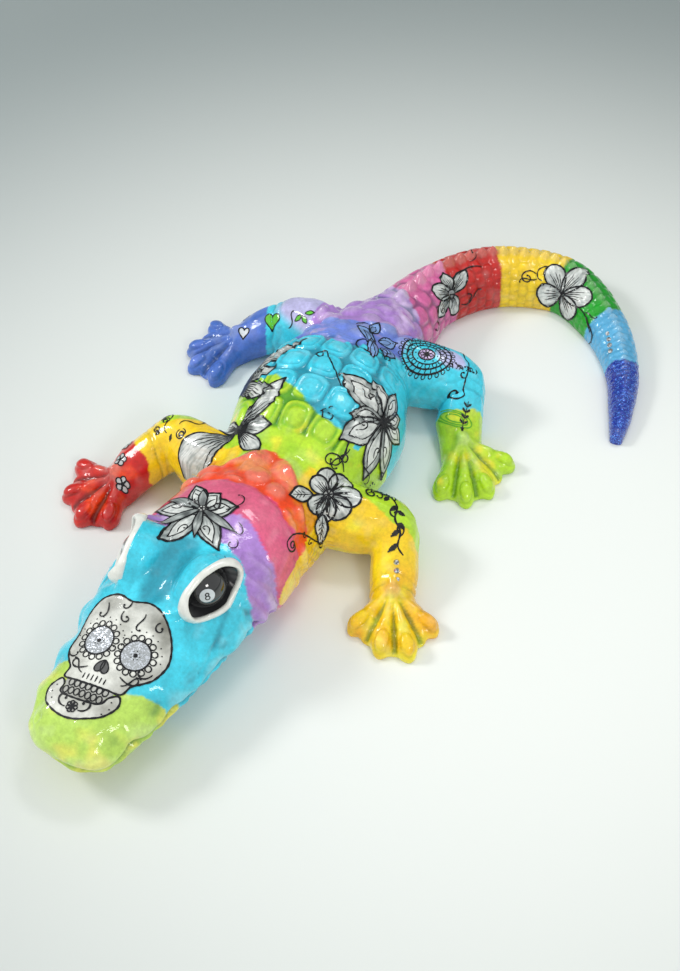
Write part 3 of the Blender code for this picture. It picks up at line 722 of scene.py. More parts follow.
def paint_skin(points, height, at, block, names):
    """The colour zones of the whole animal, with wobbly edges and patches, painted shade darkening the grooves and a
    painted highlight on the raised parts.
    """
    paint = Paint(len(points))
    wobble = 2.2 * noise(points, 9, 11) + 1.0 * noise(points, 3.5, 12)
    patch = noise(points, 13, 13) + 0.5 * noise(points, 5, 14)
    streak = noise(points * np.array((1, 0.35, 1)), 3.0, 15)
    rim = np.abs(at.u) / at.half
    is_block = {name: block == k for k, name in enumerate(names)}
    y = at.y + wobble
    # trunk
    paint.brush(np.ones(len(points)), LIME)
    paint.brush(smooth(0.35, 1.1, patch) * 0.8, LEMON)
    paint.brush(smooth(0.0, 0.9, -patch) * 0.35, LIME_DEEP)
    # painted shade: deep lime laid into the sunken parts of the skin, so recesses read darker where the lime shows
    paint.brush(smooth(0.1, 1.0, -height) * 0.75, LIME_DEEP)
    paint.brush(edge(y + 44 + 10 * np.sin(at.u / 17.0) + 8 * (at.u > 40)), CYAN)
    paint.brush(edge(y - 17 - 0.5 * np.maximum(at.u, 0)) * (rim < 1.0), PERIWINKLE)
    paint.brush(edge(y - 17 - 0.5 * np.maximum(at.u, 0)) * smooth(0.1, 0.9, patch) * (rim < 1.0), LILAC_PALE)
    paint.brush(edge(y - 54 - 0.3 * at.u), LILAC)
    paint.brush(edge(y - 54 - 0.3 * at.u) * smooth(0.1, 0.8, patch), LILAC_PALE)
    _, r, scutes = scute_cells(at)
    lines = scutes * np.clip(np.exp(-((r - 0.62) / 0.10) ** 2) + smooth(0.82, 0.98, r), 0, 1)
    lines *= 0.75 + 0.4 * noise(points, 6, 18)
    green_part = 1 - edge(y + 44 + 10 * np.sin(at.u / 17.0) + 8 * (at.u > 40))
    paint.brush(lines * green_part * 0.75, LIME_DEEP)
    paint.brush(lines * (1 - green_part) * 0.35, CYAN_DEEP)
    # neck bands, front to back
    shoulder = -80 - 6 * rim
    neck = at.y < -60
    paint.brush(neck * edge(shoulder - y) * (rim < 1.15) * smooth(0.42, 0.52, rim + 0.02 * wobble), YELLOW)
    paint.brush(neck * edge(shoulder - y) * smooth(0.55, 0.8, rim) * (at.y < -96), GOLD)
    nape_back = -85 - 44 * rim ** 1.7
    paint.brush(neck * edge(nape_back - y), ORANGE_RED)
    paint.brush(neck * edge(nape_back - y) * smooth(0.2, 0.9, patch), ORANGE)
    nape_front = -119 - 18 * rim ** 2
    paint.brush(neck * edge(nape_front - y), PINK)
    paint.brush(neck * edge(nape_front - y) * smooth(0.3, 1.0, patch), MAGENTA)
    collar_front = -143 - 22 * rim ** 2
    paint.brush(neck * edge(collar_front - y), LILAC)
    paint.brush(neck * edge(collar_front - y) * smooth(0.0, 0.8, patch), LILAC_PALE)
    head_back = -163 - 24 * rim ** 2
    paint.brush(neck * edge(head_back - y), CYAN)
    snout = -263 + 10 * (at.z < 30) - 3 * np.sin(at.u / 9)
    paint.brush(neck * edge(snout - y), LIME)
    paint.brush(neck * edge(snout - y) * smooth(-0.3, 0.7, patch), LEMON)
    paint.brush(neck * edge(snout - y) * 0.12, WHITE)
    # limbs
    for limb in LIMBS:
        front, side = limb.split("_")
        leg = is_block[f"{front}_leg_{side}"]
        foot = is_block[f"{front}_foot_{side}"]
        root = smooth(-5, 1, beyond(points, ROOT_SAWS[limb], ROOT_SAW_HALF) + wobble)
        ankle = beyond(points, ANKLE_SAWS[limb], 60, 80) + wobble
        if limb == "front_left":
            arm = (leg | foot | (root > 0.02)) & (at.x > 40)
            paint.brush(arm * edge(60 - 200 * (at.x > 40)) * 0, YELLOW)
            lime_line = y + 84 + 0.12 * (at.x - 60)
            area = (at.x > 46) & (at.y < -40) & (rim > 0.8)
            paint.brush(area * edge(-lime_line), YELLOW)
            paint.brush(area * edge(lime_line - 1), LIME)
            paint.brush(area * edge(lime_line - 1) * smooth(0.2, 0.9, patch), LEMON)
            paint.brush(area * edge(-lime_line) * smooth(0.2, 1.0, patch) * 0.7, LEMON)
            paint.brush((leg | foot) * smooth(-30, 6, ankle) * smooth(-0.4, 0.7, -patch) * 0.75, GOLD)
        elif limb == "front_right":
            area = (at.x < -36) & (at.y > -125) & (at.y < -40) & (rim > 0.8)
            lime_line = -(at.x + 71) + 0.75 * (at.y + 66) + wobble
            paint.brush(area * edge(at.x * 0 + 1), YELLOW)
            paint.brush(area * edge(y + 70 - 0.5 * (at.x + 60)) * edge(at.x + 84), LIME)
            paint.brush(area * edge(y + 70 - 0.5 * (at.x + 60)) * edge(at.x + 84) * smooth(0.1, 0.8, patch), LEMON)
            paint.brush(edge(ankle - 4) * (leg | foot), RED)
            paint.brush(edge(ankle - 4) * (leg | foot) * smooth(0.1, 0.9, patch), ORANGE_RED)
        elif limb == "hind_left":
            area = (leg | foot) | ((at.x > 34) & (at.y > 15) & (at.y < 86) & (at.u > 30) & (at.t < 18.6))
            paint.brush(area * edge(at.x - 40 + wobble), CYAN)
            pinkish = np.exp(-(((at.x - 70) / 15) ** 2 + ((at.y - 56) / 9) ** 2)) * (at.z > 34)
            paint.brush(area * edge(pinkish - 0.55 + 0.1 * noise(points, 5, 21), 0.12) * 0.75, LILAC_PALE)
            paint.brush(foot * edge(ankle - 6), LIME)
            paint.brush(foot * edge(ankle - 6) * smooth(0.1, 0.8, patch), LEMON)
        else:
            area = (leg | foot) | ((at.x < -28) & (at.y > 22) & (at.y < 90) & (at.u < -28) & (at.t < 18.6))
            paint.brush(area * edge(-at.x - 34 + wobble), CYAN)
            paint.brush(area * edge(-at.x - 34 + wobble) * smooth(40, 47, at.z) * 0.8, LILAC_PALE)
            paint.brush(foot * edge(ankle + 0.5, 0.4), BLUE)
            paint.brush(foot * edge(ankle + 0.5, 0.4) * smooth(0.1, 1.0, patch) * 0.7, PERIWINKLE)
    # tail
    free = (at.y > 60) & (at.t > 18) & ~(is_block["hind_leg_left"] | is_block["hind_leg_right"])
    t = at.t + wobble * 0.012
    slant = TAIL_SAWS[0] - 0.016 * at.u
    for start, colour in zip([slant] + TAIL_SAWS[1:], (TAIL_PINK, RED, YELLOW, GREEN, SKY, ROYAL)):
        paint.brush(free * smooth(-0.02, 0.02, t - start), colour)
    # brushwork: paler and deeper strokes; then painted shade darkening the grooves and a painted highlight lightening
    # the raised parts
    colour = paint.colour
    colour *= (1 + 0.10 * noise(points, 22, 16) + 0.07 * streak)[:, None]
    pale = 0.10 * smooth(0.2, 1.0, noise(points, 7, 17))[:, None]
    colour += pale * (np.array(WHITE) - colour)
    # painted shade: the sunken parts of the skin are darkened in the colour itself
    groove = smooth(0.15, 1.6, -height)[:, None]
    colour *= 1 - groove * np.array((0.62, 0.48, 0.45))
    # painted highlight: the raised crowns of scales and bumps are lightened towards a warm white
    crown = smooth(0.8, 2.6, height)[:, None] * 0.13
    colour += crown * (np.array((0.95, 0.95, 0.80)) - colour)
    return np.clip(colour, 0.002, 0.95)


# ---------------------------------------------------------------- materials
def shader_of(name, **values):
    """A new material with a Principled shader, its constants set on the sockets."""
    material = bpy.data.materials.new(name)
    material.use_nodes = True
    shader = material.node_tree.nodes["Principled BSDF"]
    for key, value in values.items():
        shader.inputs[key.replace("_", " ")].default_value = value
    return material, material.node_tree, shader


def add_noise(tree, scale, detail=4.0, roughness=0.6):
    coords = tree.nodes.new("ShaderNodeTexCoord")
    found = tree.nodes.new("ShaderNodeTexNoise")
    found.inputs["Scale"].default_value = scale
    found.inputs["Detail"].default_value = detail
    found.inputs["Roughness"].default_value = roughness
    tree.links.new(coords.outputs["Object"], found.inputs["Vector"])
    return found


def add_ramp(tree, source, low, high, dark, light):
    ramp = tree.nodes.new("ShaderNodeMapRange")
    ramp.inputs["From Min"].default_value = low
    ramp.inputs["From Max"].default_value = high
    ramp.inputs["To Min"].default_value = dark
    ramp.inputs["To Max"].default_value = light
    tree.links.new(source, ramp.inputs["Value"])
    return ramp.outputs["Result"]


def varnished(name, wash=0.16, bump=0.35, glitter=False, coat=1.0):
    """Glossy varnish over brushed paint: the colour attribute, brush noise, fine bump and a clear coat."""
    material, tree, shader = shader_of(
        name, Roughness=0.42, Coat_Weight=coat, Coat_Roughness=0.04, Coat_IOR=1.4, IOR=1.45)
    shader.inputs["Specular IOR Level"].default_value = 0.25
    paint = tree.nodes.new("ShaderNodeVertexColor")
    paint.layer_name = "paint"
    brush = add_noise(tree, 420, 5)
    cloud = add_noise(tree, 90, 3)
    mix = tree.nodes.new("ShaderNodeMix")
    mix.data_type = "RGBA"
    mix.blend_type = "MULTIPLY"
    mix.inputs["Factor"].default_value = 1.0
    amount = tree.nodes.new("ShaderNodeMath")
    amount.operation = "MULTIPLY"
    tree.links.new(add_ramp(tree, brush.outputs["Fac"], 0.3, 0.7, 1 - wash, 1 + wash * 0.5), amount.inputs[0])
    tree.links.new(add_ramp(tree, cloud.outputs["Fac"], 0.3, 0.7, 1 - wash * 0.7, 1 + wash * 0.5), amount.inputs[1])
    tree.links.new(paint.outputs["Color"], mix.inputs["A"])
    grey = tree.nodes.new("ShaderNodeCombineColor")
    for channel in ("Red", "Green", "Blue"):
        tree.links.new(amount.outputs[0], grey.inputs[channel])
    tree.links.new(grey.outputs["Color"], mix.inputs["B"])
    tree.links.new(mix.outputs["Result"], shader.inputs["Base Color"])
    ripple = add_noise(tree, 260, 3)
    height = tree.nodes.new("ShaderNodeBump")
    height.inputs["Strength"].default_value = bump
    height.inputs["Distance"].default_value = 0.0004
    tree.links.new(ripple.outputs["Fac"], height.inputs["Height"])
    tree.links.new(height.outputs["Normal"], shader.inputs["Normal"])
    tree.links.new(height.outputs["Normal"], shader.inputs["Coat Normal"])
    if glitter:
        coords = tree.nodes.new("ShaderNodeTexCoord")
        flakes = tree.nodes.new("ShaderNodeTexVoronoi")
        flakes.inputs["Scale"].default_value = 1500
        tree.links.new(coords.outputs["Object"], flakes.inputs["Vector"])
        split = tree.nodes.new("ShaderNodeSeparateColor")
        tree.links.new(flakes.outputs["Color"], split.inputs["Color"])
        shine = add_ramp(tree, split.outputs["Red"], 0.72, 0.75, 0.0, 1.0)
        tree.links.new(shine, shader.inputs["Metallic"])
        tilt = tree.nodes.new("ShaderNodeBump")
        tilt.inputs["Strength"].default_value = 0.9
        tilt.inputs["Distance"].default_value = 0.0006
        tree.links.new(split.outputs["Green"], tilt.inputs["Height"])
        tree.links.new(tilt.outputs["Normal"], shader.inputs["Normal"])
        light = tree.nodes.new("ShaderNodeMix")
        light.data_type = "RGBA"
        light.inputs["B"].default_value = (0.75, 0.78, 0.85, 1) if glitter == "silver" else (0.12, 0.3, 0.9, 1)
        tree.links.new(shine, light.inputs["Factor"])
        tree.links.new(mix.outputs["Result"], light.inputs["A"])
        tree.links.new(light.outputs["Result"], shader.inputs["Base Color"])
    return material


SKIN = varnished("varnished_paint")
GLITTER_BLUE = varnished("blue_glitter_paint", glitter="blue")
GLITTER_SILVER = varnished("silver_glitter_paint", wash=0.1, glitter="silver")


# ---------------------------------------------------------------- the skin as one piece per block
def make_skin():
    points, faces = bare_skin()
    points, height, at, _ = sculpt(points, faces)
    normals = normals_of(points, faces)
    block, names = block_of(points, at)
    colours = paint_skin(points, height, at, block, names)
    votes = np.sort(block[faces], axis=1)[:, 1]
    for k, name in enumerate(names):
        chosen = faces[votes == k]
        used, index = np.unique(chosen, return_inverse=True)
        chosen = index.reshape(-1, 4)
        mesh = bpy.data.meshes.new(name + "_skin")
        mesh.from_pydata((points[used] * MM).tolist(), [], chosen.tolist())
        layer = mesh.color_attributes.new("paint", "FLOAT_COLOR", "POINT")
        rgba = np.ones((len(used), 4), np.float32)
        rgba[:, :3] = colours[used]
        layer.data.foreach_set("color", rgba.ravel())
        mesh.shade_smooth()
        mesh.normals_split_custom_set_from_vertices(normals[used].tolist())
        mesh.materials.append(GLITTER_BLUE if name == "tail_tip" else SKIN)
        piece = bpy.data.objects.new(name + "_skin", mesh)
        bpy.context.scene.collection.objects.link(piece)
        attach(piece, "root")
        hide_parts(name)
    tree = BVHTree.FromPolygons([Vector(p) for p in points], faces.tolist())
    return tree


SURFACE = make_skin()


# ---------------------------------------------------------------- painted motifs, drawn flat and laid on the skin
FILL_LIFT = 0.10
LINE_LIFT = 0.20
LAYER_LIFT = 0.05  # each fill lies over what was drawn before it
BLACK_PEN = 1.1  # width of a line


def turn2(points, degrees):
    a = math.radians(degrees)
    points = np.asarray(points, float)
    return points @ np.array(((math.cos(a), math.sin(a)), (-math.sin(a), math.cos(a))))


def curve_through(points, closed=False, step=0.5):
    """A smooth line through points, sampled about every step."""
    points = [tuple(p) for p in points]
    rows = points[-1:] + points + points[:2] if closed else points[:1] + points + points[-1:]
    rows = np.array(rows, float)
    out = []
    for i in range(1, len(rows) - 2):
        a, b, c, d = rows[i - 1:i + 3]
        count = max(2, int(np.linalg.norm(c - b) / step))
        for k in range(count):
            f = k / count
            out.append(0.5 * (2 * b + (c - a) * f + (2 * a - 5 * b + 4 * c - d) * f * f
                              + (3 * b - a - 3 * c + d) * f ** 3))
    if not closed:
        out.append(rows[-2])
    return np.array(out)


def vine(start, heading, length, bend, end_bend, power=2.0, step=0.4):
    """A tendril: heading in degrees, bend in degrees per mm at its start and at its end."""
    count = max(4, int(length / step))
    angle = math.radians(heading)
    point = np.array(start, float)
    out = [point.copy()]
    for k in range(count):
        share = (k / count) ** power
        angle += math.radians(bend + (end_bend - bend) * share) * length / count
        point = point + np.array((math.cos(angle), math.sin(angle))) * length / count
        out.append(point.copy())
    return np.array(out)


def petal(base, heading, length, width, tip=1.0, lean=0.0, belly=0.5):
    """A petal's outline: tip 1 is pointed, 0 is round; lean bends it sideways; belly is where it is widest."""
    share = np.linspace(0, 1, 26)
    warped = share ** (math.log(0.5) / math.log(belly))
    half = width / 2 * np.sin(np.pi * warped) ** (0.75 + 0.55 * tip * share)
    if tip < 0.5:
        half = width / 2 * np.sin(np.pi * np.clip(warped, 0, 1)) ** 0.5
        half[-1] = 0
    side = lean * length * share ** 2
    up = np.stack([share * length, side + half], axis=1)
    down = np.stack([share * length, side - half], axis=1)[::-1]
    return turn2(np.concatenate([up, down[1:-1]]), heading) + np.array(base, float)


def ring_points(centre, radius, count=40, stretch=1.0, start=0.0):
    a = np.linspace(0, 2 * np.pi, count, endpoint=False) + start
    return np.stack([centre[0] + radius * np.cos(a), centre[1] + radius * stretch * np.sin(a)], axis=1)


def inside(polygon, points):
    """Which points lie inside a closed outline."""
    found = np.zeros(len(points), bool)
    for (ax, ay), (bx, by) in zip(polygon, np.roll(polygon, -1, axis=0)):
        if ay == by:
            continue
        crosses = (ay > points[:, 1]) != (by > points[:, 1])
        found ^= crosses & (points[:, 0] < (bx - ax) * (points[:, 1] - ay) / (by - ay) + ax)
    return found


class Sheet:
    """A flat drawing surface over the skin. Its x runs right and its y up as seen from outside."""

    def __init__(self, name, origin, out, up, reach=30.0, lean=0.0):
        self.name = name
        self.out = Vector(out).normalized()
        up = Vector(up)
        self.up = (up - self.out * up.dot(self.out)).normalized()
        self.right = self.up.cross(self.out)
        if lean:
            spin = Matrix.Rotation(math.radians(lean), 3, self.out)
            self.up = spin @ self.up
            self.right = spin @ self.right
        self.origin = Vector(origin)
        self.reach = reach
        self.meshes = {}
        self.layer = 0

    def drop(self, a, b, lift):
        """The skin point under a sheet point, lifted off by a hair."""
        start = self.origin + self.right * a + self.up * b + self.out * self.reach
        hit, normal, _, _ = SURFACE.ray_cast(start, -self.out, self.reach * 2.2)
        return None if hit is None else hit + normal * lift

    def add(self, kind, points, faces, colours):
        verts, polys, paints = self.meshes.setdefault(kind, ([], [], []))
        offset = len(verts)
        verts += points
        polys += [tuple(i + offset for i in face) for face in faces]
        paints += list(colours)

    def fill(self, outline, colour, kind="fill", step=0.55, holes=()):
        """Paints the inside of an outline; colour is a fixed colour or a function of an array of points."""
        outline = np.asarray(outline, float)
        self.layer += 1
        lift = FILL_LIFT + LAYER_LIFT * self.layer
        low = np.floor(outline.min(0) / step) - 1
        high = np.ceil(outline.max(0) / step) + 1
        nx, ny = (high - low).astype(int)
        gx, gy = np.meshgrid(np.arange(nx), np.arange(ny), indexing="ij")
        centres = (np.stack([gx.ravel(), gy.ravel()], axis=1) + low + 0.5) * step
        keep = inside(outline, centres)
        for hole in holes:
            keep &= ~inside(np.asarray(hole, float), centres)
        used, points, where = {}, [], []
        faces = []
        for i, j in np.stack([gx.ravel(), gy.ravel()], axis=1)[keep]:
            face = []
            for corner in ((i, j), (i + 1, j), (i + 1, j + 1), (i, j + 1)):
                if corner not in used:
                    a, b = (low[0] + corner[0]) * step, (low[1] + corner[1]) * step
                    hit = self.drop(a, b, lift)
                    used[corner] = None if hit is None else len(points)
                    if hit is not None:
                        points.append(hit)
                        where.append((a, b))
                face.append(used[corner])
            if None not in face:
                faces.append(face)
        if not points:
            return
        where = np.array(where)
        paints = colour(where) if callable(colour) else np.tile(np.array(colour, float), (len(where), 1))
        self.add(kind, points, faces, paints)

    def line(self, path, width=BLACK_PEN, closed=False, taper=0.0, kind="lines", colour=(0.006, 0.006, 0.008)):
        """A pen line along a path; taper thins it towards both ends, or bulges it a little along the way."""
        path = np.asarray(path, float)
        if closed:
            path = np.concatenate([path, path[:1]])
        gaps = np.hypot(*np.diff(path, axis=0).T)
        along = np.concatenate([[0], np.cumsum(gaps)])
        count = max(2, int(along[-1] / 0.55))
        at = np.linspace(0, along[-1], count + 1)
        path = np.stack([np.interp(at, along, path[:, 0]), np.interp(at, along, path[:, 1])], axis=1)
        heading = np.gradient(path, axis=0)
        if closed:
            heading[0] = heading[-1] = path[1] - path[-2]
        heading /= np.linalg.norm(heading, axis=1)[:, None] + 1e-9
        side = np.stack([-heading[:, 1], heading[:, 0]], axis=1)
        share = at / max(at[-1], 1e-6)
        half = width / 2 * (1 - taper + taper * np.sin(np.pi * share) ** 0.6)
        half = half * (1 + 0.16 * np.sin(at * 1.3 + path[0, 0]))
        points, faces, last = [], [], None
        for p, s, h in zip(path, side, half):
            a = self.drop(*(p - s * h), LINE_LIFT + LAYER_LIFT * self.layer)
            b = self.drop(*(p + s * h), LINE_LIFT + LAYER_LIFT * self.layer)
            if a is None or b is None or (last is not None and (a - last[1]).length > 2.0):
                last = None
                if a is None or b is None:
                    continue
            points += [a, b]
            k = len(points)
            if last is not None:
                faces.append((k - 4, k - 2, k - 1, k - 3))
            last = (k, a)
        if faces:
            self.add(kind, points, faces, [colour] * len(points))

    def dot(self, centre, radius=0.8, colour=(0.006, 0.006, 0.008)):
        outline = ring_points(centre, radius, 10)
        points = [self.drop(*p, LINE_LIFT + LAYER_LIFT * self.layer) for p in np.concatenate([[centre], outline])]
        if None in points:
            return
        faces = [(0, 1 + k, 1 + (k + 1) % 10) for k in range(10)]
        self.add("lines", points, faces, [colour] * len(points))

    def curl(self, start, heading, length, bend, end_bend, width=BLACK_PEN, power=2.0, bead=True):
        """A tendril that ends in a bead, as a pen leaves it."""
        path = vine(start, heading, length, bend, end_bend, power)
        self.line(path, width, taper=0.45)
        if bead:
            self.dot(path[-1], width * 0.75)

    def finish(self):
        """Makes one piece for each kind of paint on this sheet."""
        kinds = {"fill": SKIN, "lines": LINES, "glitter": GLITTER_SILVER}
        for kind, (verts, polys, paints) in self.meshes.items():
            mesh = bpy.data.meshes.new(f"{self.name}_{kind}")
            mesh.from_pydata([v * MM for v in verts], [], polys)
            layer = mesh.color_attributes.new("paint", "FLOAT_COLOR", "POINT")
            rgba = np.ones((len(verts), 4), np.float32)
            rgba[:, :3] = np.array(paints)[:, :3]
            layer.data.foreach_set("color", rgba.ravel())
            bm = bmesh.new()
            bm.from_mesh(mesh)
            flip = [f for f in bm.faces if f.normal.dot(self.out) < 0]
            bmesh.ops.reverse_faces(bm, faces=flip)
            bm.to_mesh(mesh)
            bm.free()
            mesh.shade_smooth()
            mesh.materials.append(kinds[kind])
            piece = bpy.data.objects.new(f"{self.name}_{kind}", mesh)
            bpy.context.scene.collection.objects.link(piece)
            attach(piece, "root")


LINES = varnished("black_pen", wash=0.05, bump=0.15, coat=0.35)
GREY = np.array((0.34, 0.37, 0.36))
PALE = np.array((0.74, 0.76, 0.73))
DARK = np.array((0.10, 0.11, 0.11))


def pearl(base, heading, length, width, seed=0, dark_tip=0.0, tone=0.5):
    """The silvery brushed paint of a petal: dark at its root and rim, with pale streaks along it."""

    def colour(points):
        local = turn2(points - np.array(base, float), -heading)
        share = local[:, 0] / length
        across = local[:, 1] / (width / 2)
        q = np.stack([local[:, 0] * 0.25, local[:, 1] * 1.6, np.full(len(local), seed * 7.7)], axis=1)
        streak = noise(q, 1.0, seed + 31) * 0.5 + 0.5
        cloud = noise(np.stack([local[:, 0], local[:, 1], np.full(len(local), seed * 3.1)], axis=1), 4.5, seed + 5)
        level = tone - 0.17 + 0.66 * (streak - 0.5) + 0.28 * cloud
        level += 0.35 * smooth(0.15, 0.6, share) - 0.30 * smooth(0.55, 1.0, np.abs(across)) - 0.25 * (share < 0.12)
        level -= dark_tip * smooth(0.8, 1.0, share)
        level = np.clip(level, 0, 1)[:, None]
        low = DARK + (GREY - DARK) * np.clip(level * 2, 0, 1)
        return low + (PALE - GREY) * np.clip(level * 2 - 1, 0, 1)

    return colour


def draw_petal(sheet, base, heading, length, width, tip=1.0, lean=0.0, belly=0.5, seed=0, inner="spiral", tone=0.5):
    """One petal with its outline and what is drawn inside it."""
    outline = petal(base, heading, length, width, tip, lean, belly)
    sheet.fill(outline, pearl(base, heading, length, width, seed, tone=tone))
    sheet.line(outline, 1.35, closed=True)
    root = np.array(base, float)

    def at(share, across):
        return turn2([[share * length, across * width / 2 + lean * length * share ** 2]], heading)[0] + root

    if inner == "spiral":
        inset = petal(at(0.16, 0), heading, length * 0.66, width * 0.55, tip, lean * 0.6, belly)
        sheet.fill(inset, pearl(base, heading, length, width, seed + 9, tone=0.85))
        sheet.line(inset, 0.7, closed=True)
        way = 1 if seed % 2 else -1
        sheet.curl(at(0.62, -0.22 * way), heading + 180 - 40 * way, width * 0.85, 6 * way, 62 * way, 0.8)
    elif inner == "veins":
        for k, across in enumerate((-0.42, -0.15, 0.15, 0.42)):
            start = at(0.12, across * 0.35)
            end = at(0.62 + 0.1 * (k % 2), across)
            sheet.line(curve_through([start, (start + end) / 2 + np.array((0.2, 0.2)), end]), 0.6, taper=0.7)
    elif inner == "mid":
        sheet.line(curve_through([at(0.05, 0), at(0.45, 0.08), at(0.85, 0)]), 0.7, taper=0.6)
        for share in (0.3, 0.45, 0.6):
            for way in (1, -1):
                sheet.line(curve_through([at(share, 0), at(share + 0.16, way * 0.5)]), 0.55, taper=0.6)


def draw_skull():
    """A sugar skull of plain, generic design on top of the snout."""
    s = Sheet("skull", (-14, -251, 53), (-0.05, -0.15, 0.98), (-0.06, 1, 0))
    lean = lambda rows: [(a + float(np.interp(b, (-42, -33, -12, 10, 34), (-7, -6, 0, 3, -2))), b) for a, b in rows]
    half = [(0, 34), (10, 36), (20, 32), (27, 21), (29, 8), (27.5, -3), (23, -9), (19, -13), (17.5, -19), (9, -19.5)]
    crown = lean(half + [(-a, b) for a, b in half[:0:-1]])
    crown = curve_through(crown, closed=True)
    jaw_half = [(0, -41), (10, -39), (18, -34), (21, -26), (18, -20.5), (14, -23), (12.5, -28), (6, -29.5)]
    jaw = curve_through(lean(jaw_half + [(-a, b) for a, b in jaw_half[:0:-1]]), closed=True)

    def bone(points):
        q = np.concatenate([points, np.zeros((len(points), 1))], axis=1)
        level = 0.92 + 0.35 * noise(q, 9, 41) + 0.12 * noise(q, 3, 42)
        rim = np.hypot(points[:, 0] / 30, (points[:, 1] - 6) / 32)
        level -= 0.40 * smooth(0.62, 1.0, rim)
        for a in (-15, 17):
            level -= 0.45 * np.exp(-((points[:, 0] - a) / 7) ** 2 - ((points[:, 1] - 26) / 6) ** 2)
            level -= 0.30 * np.exp(-((points[:, 0] - a) / 6) ** 2 - ((points[:, 1] + 8) / 4) ** 2)
        level -= 0.35 * np.exp(-(points[:, 0] / 4) ** 2) * smooth(6, 20, points[:, 1])
        level = np.clip(level, 0, 1)[:, None]
        return np.array((0.16, 0.155, 0.125)) * (1 - level) + np.array((0.86, 0.86, 0.80)) * level

    mouth = curve_through(lean([(-14, -19), (0, -18), (14, -19), (13, -24), (11.5, -28.5), (0, -30), (-11.5, -28.5),
                                (-13, -24)]), closed=True)
    s.fill(mouth, lambda p: bone(p) * 0.75)
    s.fill(crown, bone)
    s.fill(jaw, lambda p: np.clip(bone(p) * 1.15, 0, 0.88))
    s.line(crown, 1.15, closed=True)
    s.line(jaw, 1.15, closed=True)
    # teeth: two rows of rounded cells, and short strokes above them
    for k in range(7):
        for row, b in ((0, -21.2), (1, -26.0)):
            a = (k - 3) * 3.5 - 2.6 + 0.3 * (b + 21)
            s.line(ring_points((a, b - 0.05 * abs(k - 3)), 1.55, 18, 1.35), 0.75, closed=True)
    for k in range(6):
        s.line(curve_through([(-7.5 + k * 2.6 - 1.0, -13.6 - 0.15 * abs(k - 2.5)), (-7.6 + k * 2.6 - 1.0, -17.4)]), 0.8, taper=0.4)
    # eye sockets: glitter, a rim, scallops, dots
    for centre, spin in (((-10.6, 6.6), 0.2), ((13.8, 4.4), 0.0)):
        s.fill(ring_points(centre, 8.3, 40, 1.04), (0.42, 0.44, 0.46), kind="glitter")
        s.line(ring_points(centre, 8.6, 48, 1.04), 1.0, closed=True)
        s.dot(centre, 1.3)
        for k in range(8):
            a = spin + k * math.pi / 4
            s.dot((centre[0] + 2.6 * math.cos(a), centre[1] + 2.6 * math.sin(a)), 0.35)
        for k in range(15):
            a = spin + 2 * math.pi * k / 15
            spot = (centre[0] + 10.3 * math.cos(a), centre[1] + 10.7 * math.sin(a))
            s.line(ring_points(spot, 1.75, 14), 0.75, closed=True)
        for k in range(11):
            a = math.pi * (0.02 + 0.096 * k)
            s.dot((centre[0] + 14.2 * math.cos(a), centre[1] + 14.8 * math.sin(a)), 0.42)
    # nose: an upturned heart
    for way in (1, -1):
        side = petal((-1.0, -3.6), -90 + way * 20, 8.2, 4.6, 0.0, 0.0, 0.62)
        s.fill(side, (0.10, 0.10, 0.10))
        s.line(side, 0.8, closed=True)
    # curls on the brow and the cheeks
    s.curl((-16, 30), -60, 14, -2, -46, 0.95)
    s.curl((-4, 27), -115, 13, 10, 52, 0.95)
    s.curl((-2, 34), -75, 9, -8, -55, 0.95)
    s.curl((9, 29), -70, 13, -12, 52, 0.95)
    s.curl((19, 27), -150, 11, 16, 45, 0.95)
    for way in (1, -1):
        base = 90 - 90 * way
        s.curl((way * 10 + 1, -10), base - way * 30, 15, way * 2, way * 36, 1.0)
        s.curl((way * 12 + 1.5, -14.5), base + way * 10, 12, way * 12, way * -30, 0.9)
        s.curl((way * 26.5, -2), 250 if way > 0 else 290, 11, -way * 6, -way * 40, 0.9)
    # chin: a small flower between two curls, and dots along the jaw
    for k in range(7):
        a = 2 * math.pi * k / 7
        s.line(ring_points((-6.0 + 2.1 * math.cos(a), -34.5 + 2.1 * math.sin(a)), 1.2, 14), 0.85, closed=True)
    s.dot((-6.0, -34.5), 0.9)
    for way in (1, -1):
        s.curl((-6.0 + way * 4, -35.5), 90 - way * 100, 15, way * 10, way * 40, 1.15)
    for a, b in ((-15, -25), (-16, -29), (-14, -33), (19, -25), (19.5, -29), (17, -33)):
        s.dot((a - 6.0, b), 0.45)
    s.finish()


def draw_nape_flower():
    s = Sheet("nape_flower", (-11, -148, 68), (-0.05, -0.05, 1), (0.16, 0.98, 0))
    for k, (heading, length, width, lean) in enumerate((
            (205, 33, 15, -0.1), (262, 35, 15, 0.0), (318, 33, 14, 0.12), (28, 22, 13, 0.1), (78, 15, 14, 0),
            (145, 21, 12, -0.1))):
        draw_petal(s, (0, 0), heading, length, width, 1.0, lean, 0.45, seed=k + 1)
    for k, (heading, length) in enumerate(((180, 27), (232, 30), (292, 22), (350, 27), (120, 14))):
        leaf = petal((0, 0), heading, length, 5.5, 1.0, 0.08, 0.5)
        s.fill(leaf, pearl((0, 0), heading, length, 6, 20 + k, tone=0.3))
        s.line(leaf, 0.8, closed=True)
    s.fill(ring_points((0, 0), 2.6, 24), (0.05, 0.05, 0.05))
    for k in range(5):
        s.dot((1.5 * math.cos(k * 1.26), 1.5 * math.sin(k * 1.26)), 0.5, (0.6, 0.6, 0.58))
    s.curl((13, 7), 40, 19, 2, 26, 0.8)
    s.curl((24, 4), -10, 12, -4, -42, 0.7)
    s.curl((30, -6), -20, 13, -12, -40, 0.7)
    s.curl((34, -22), -60, 13, 14, 42, 0.7)
    s.finish()


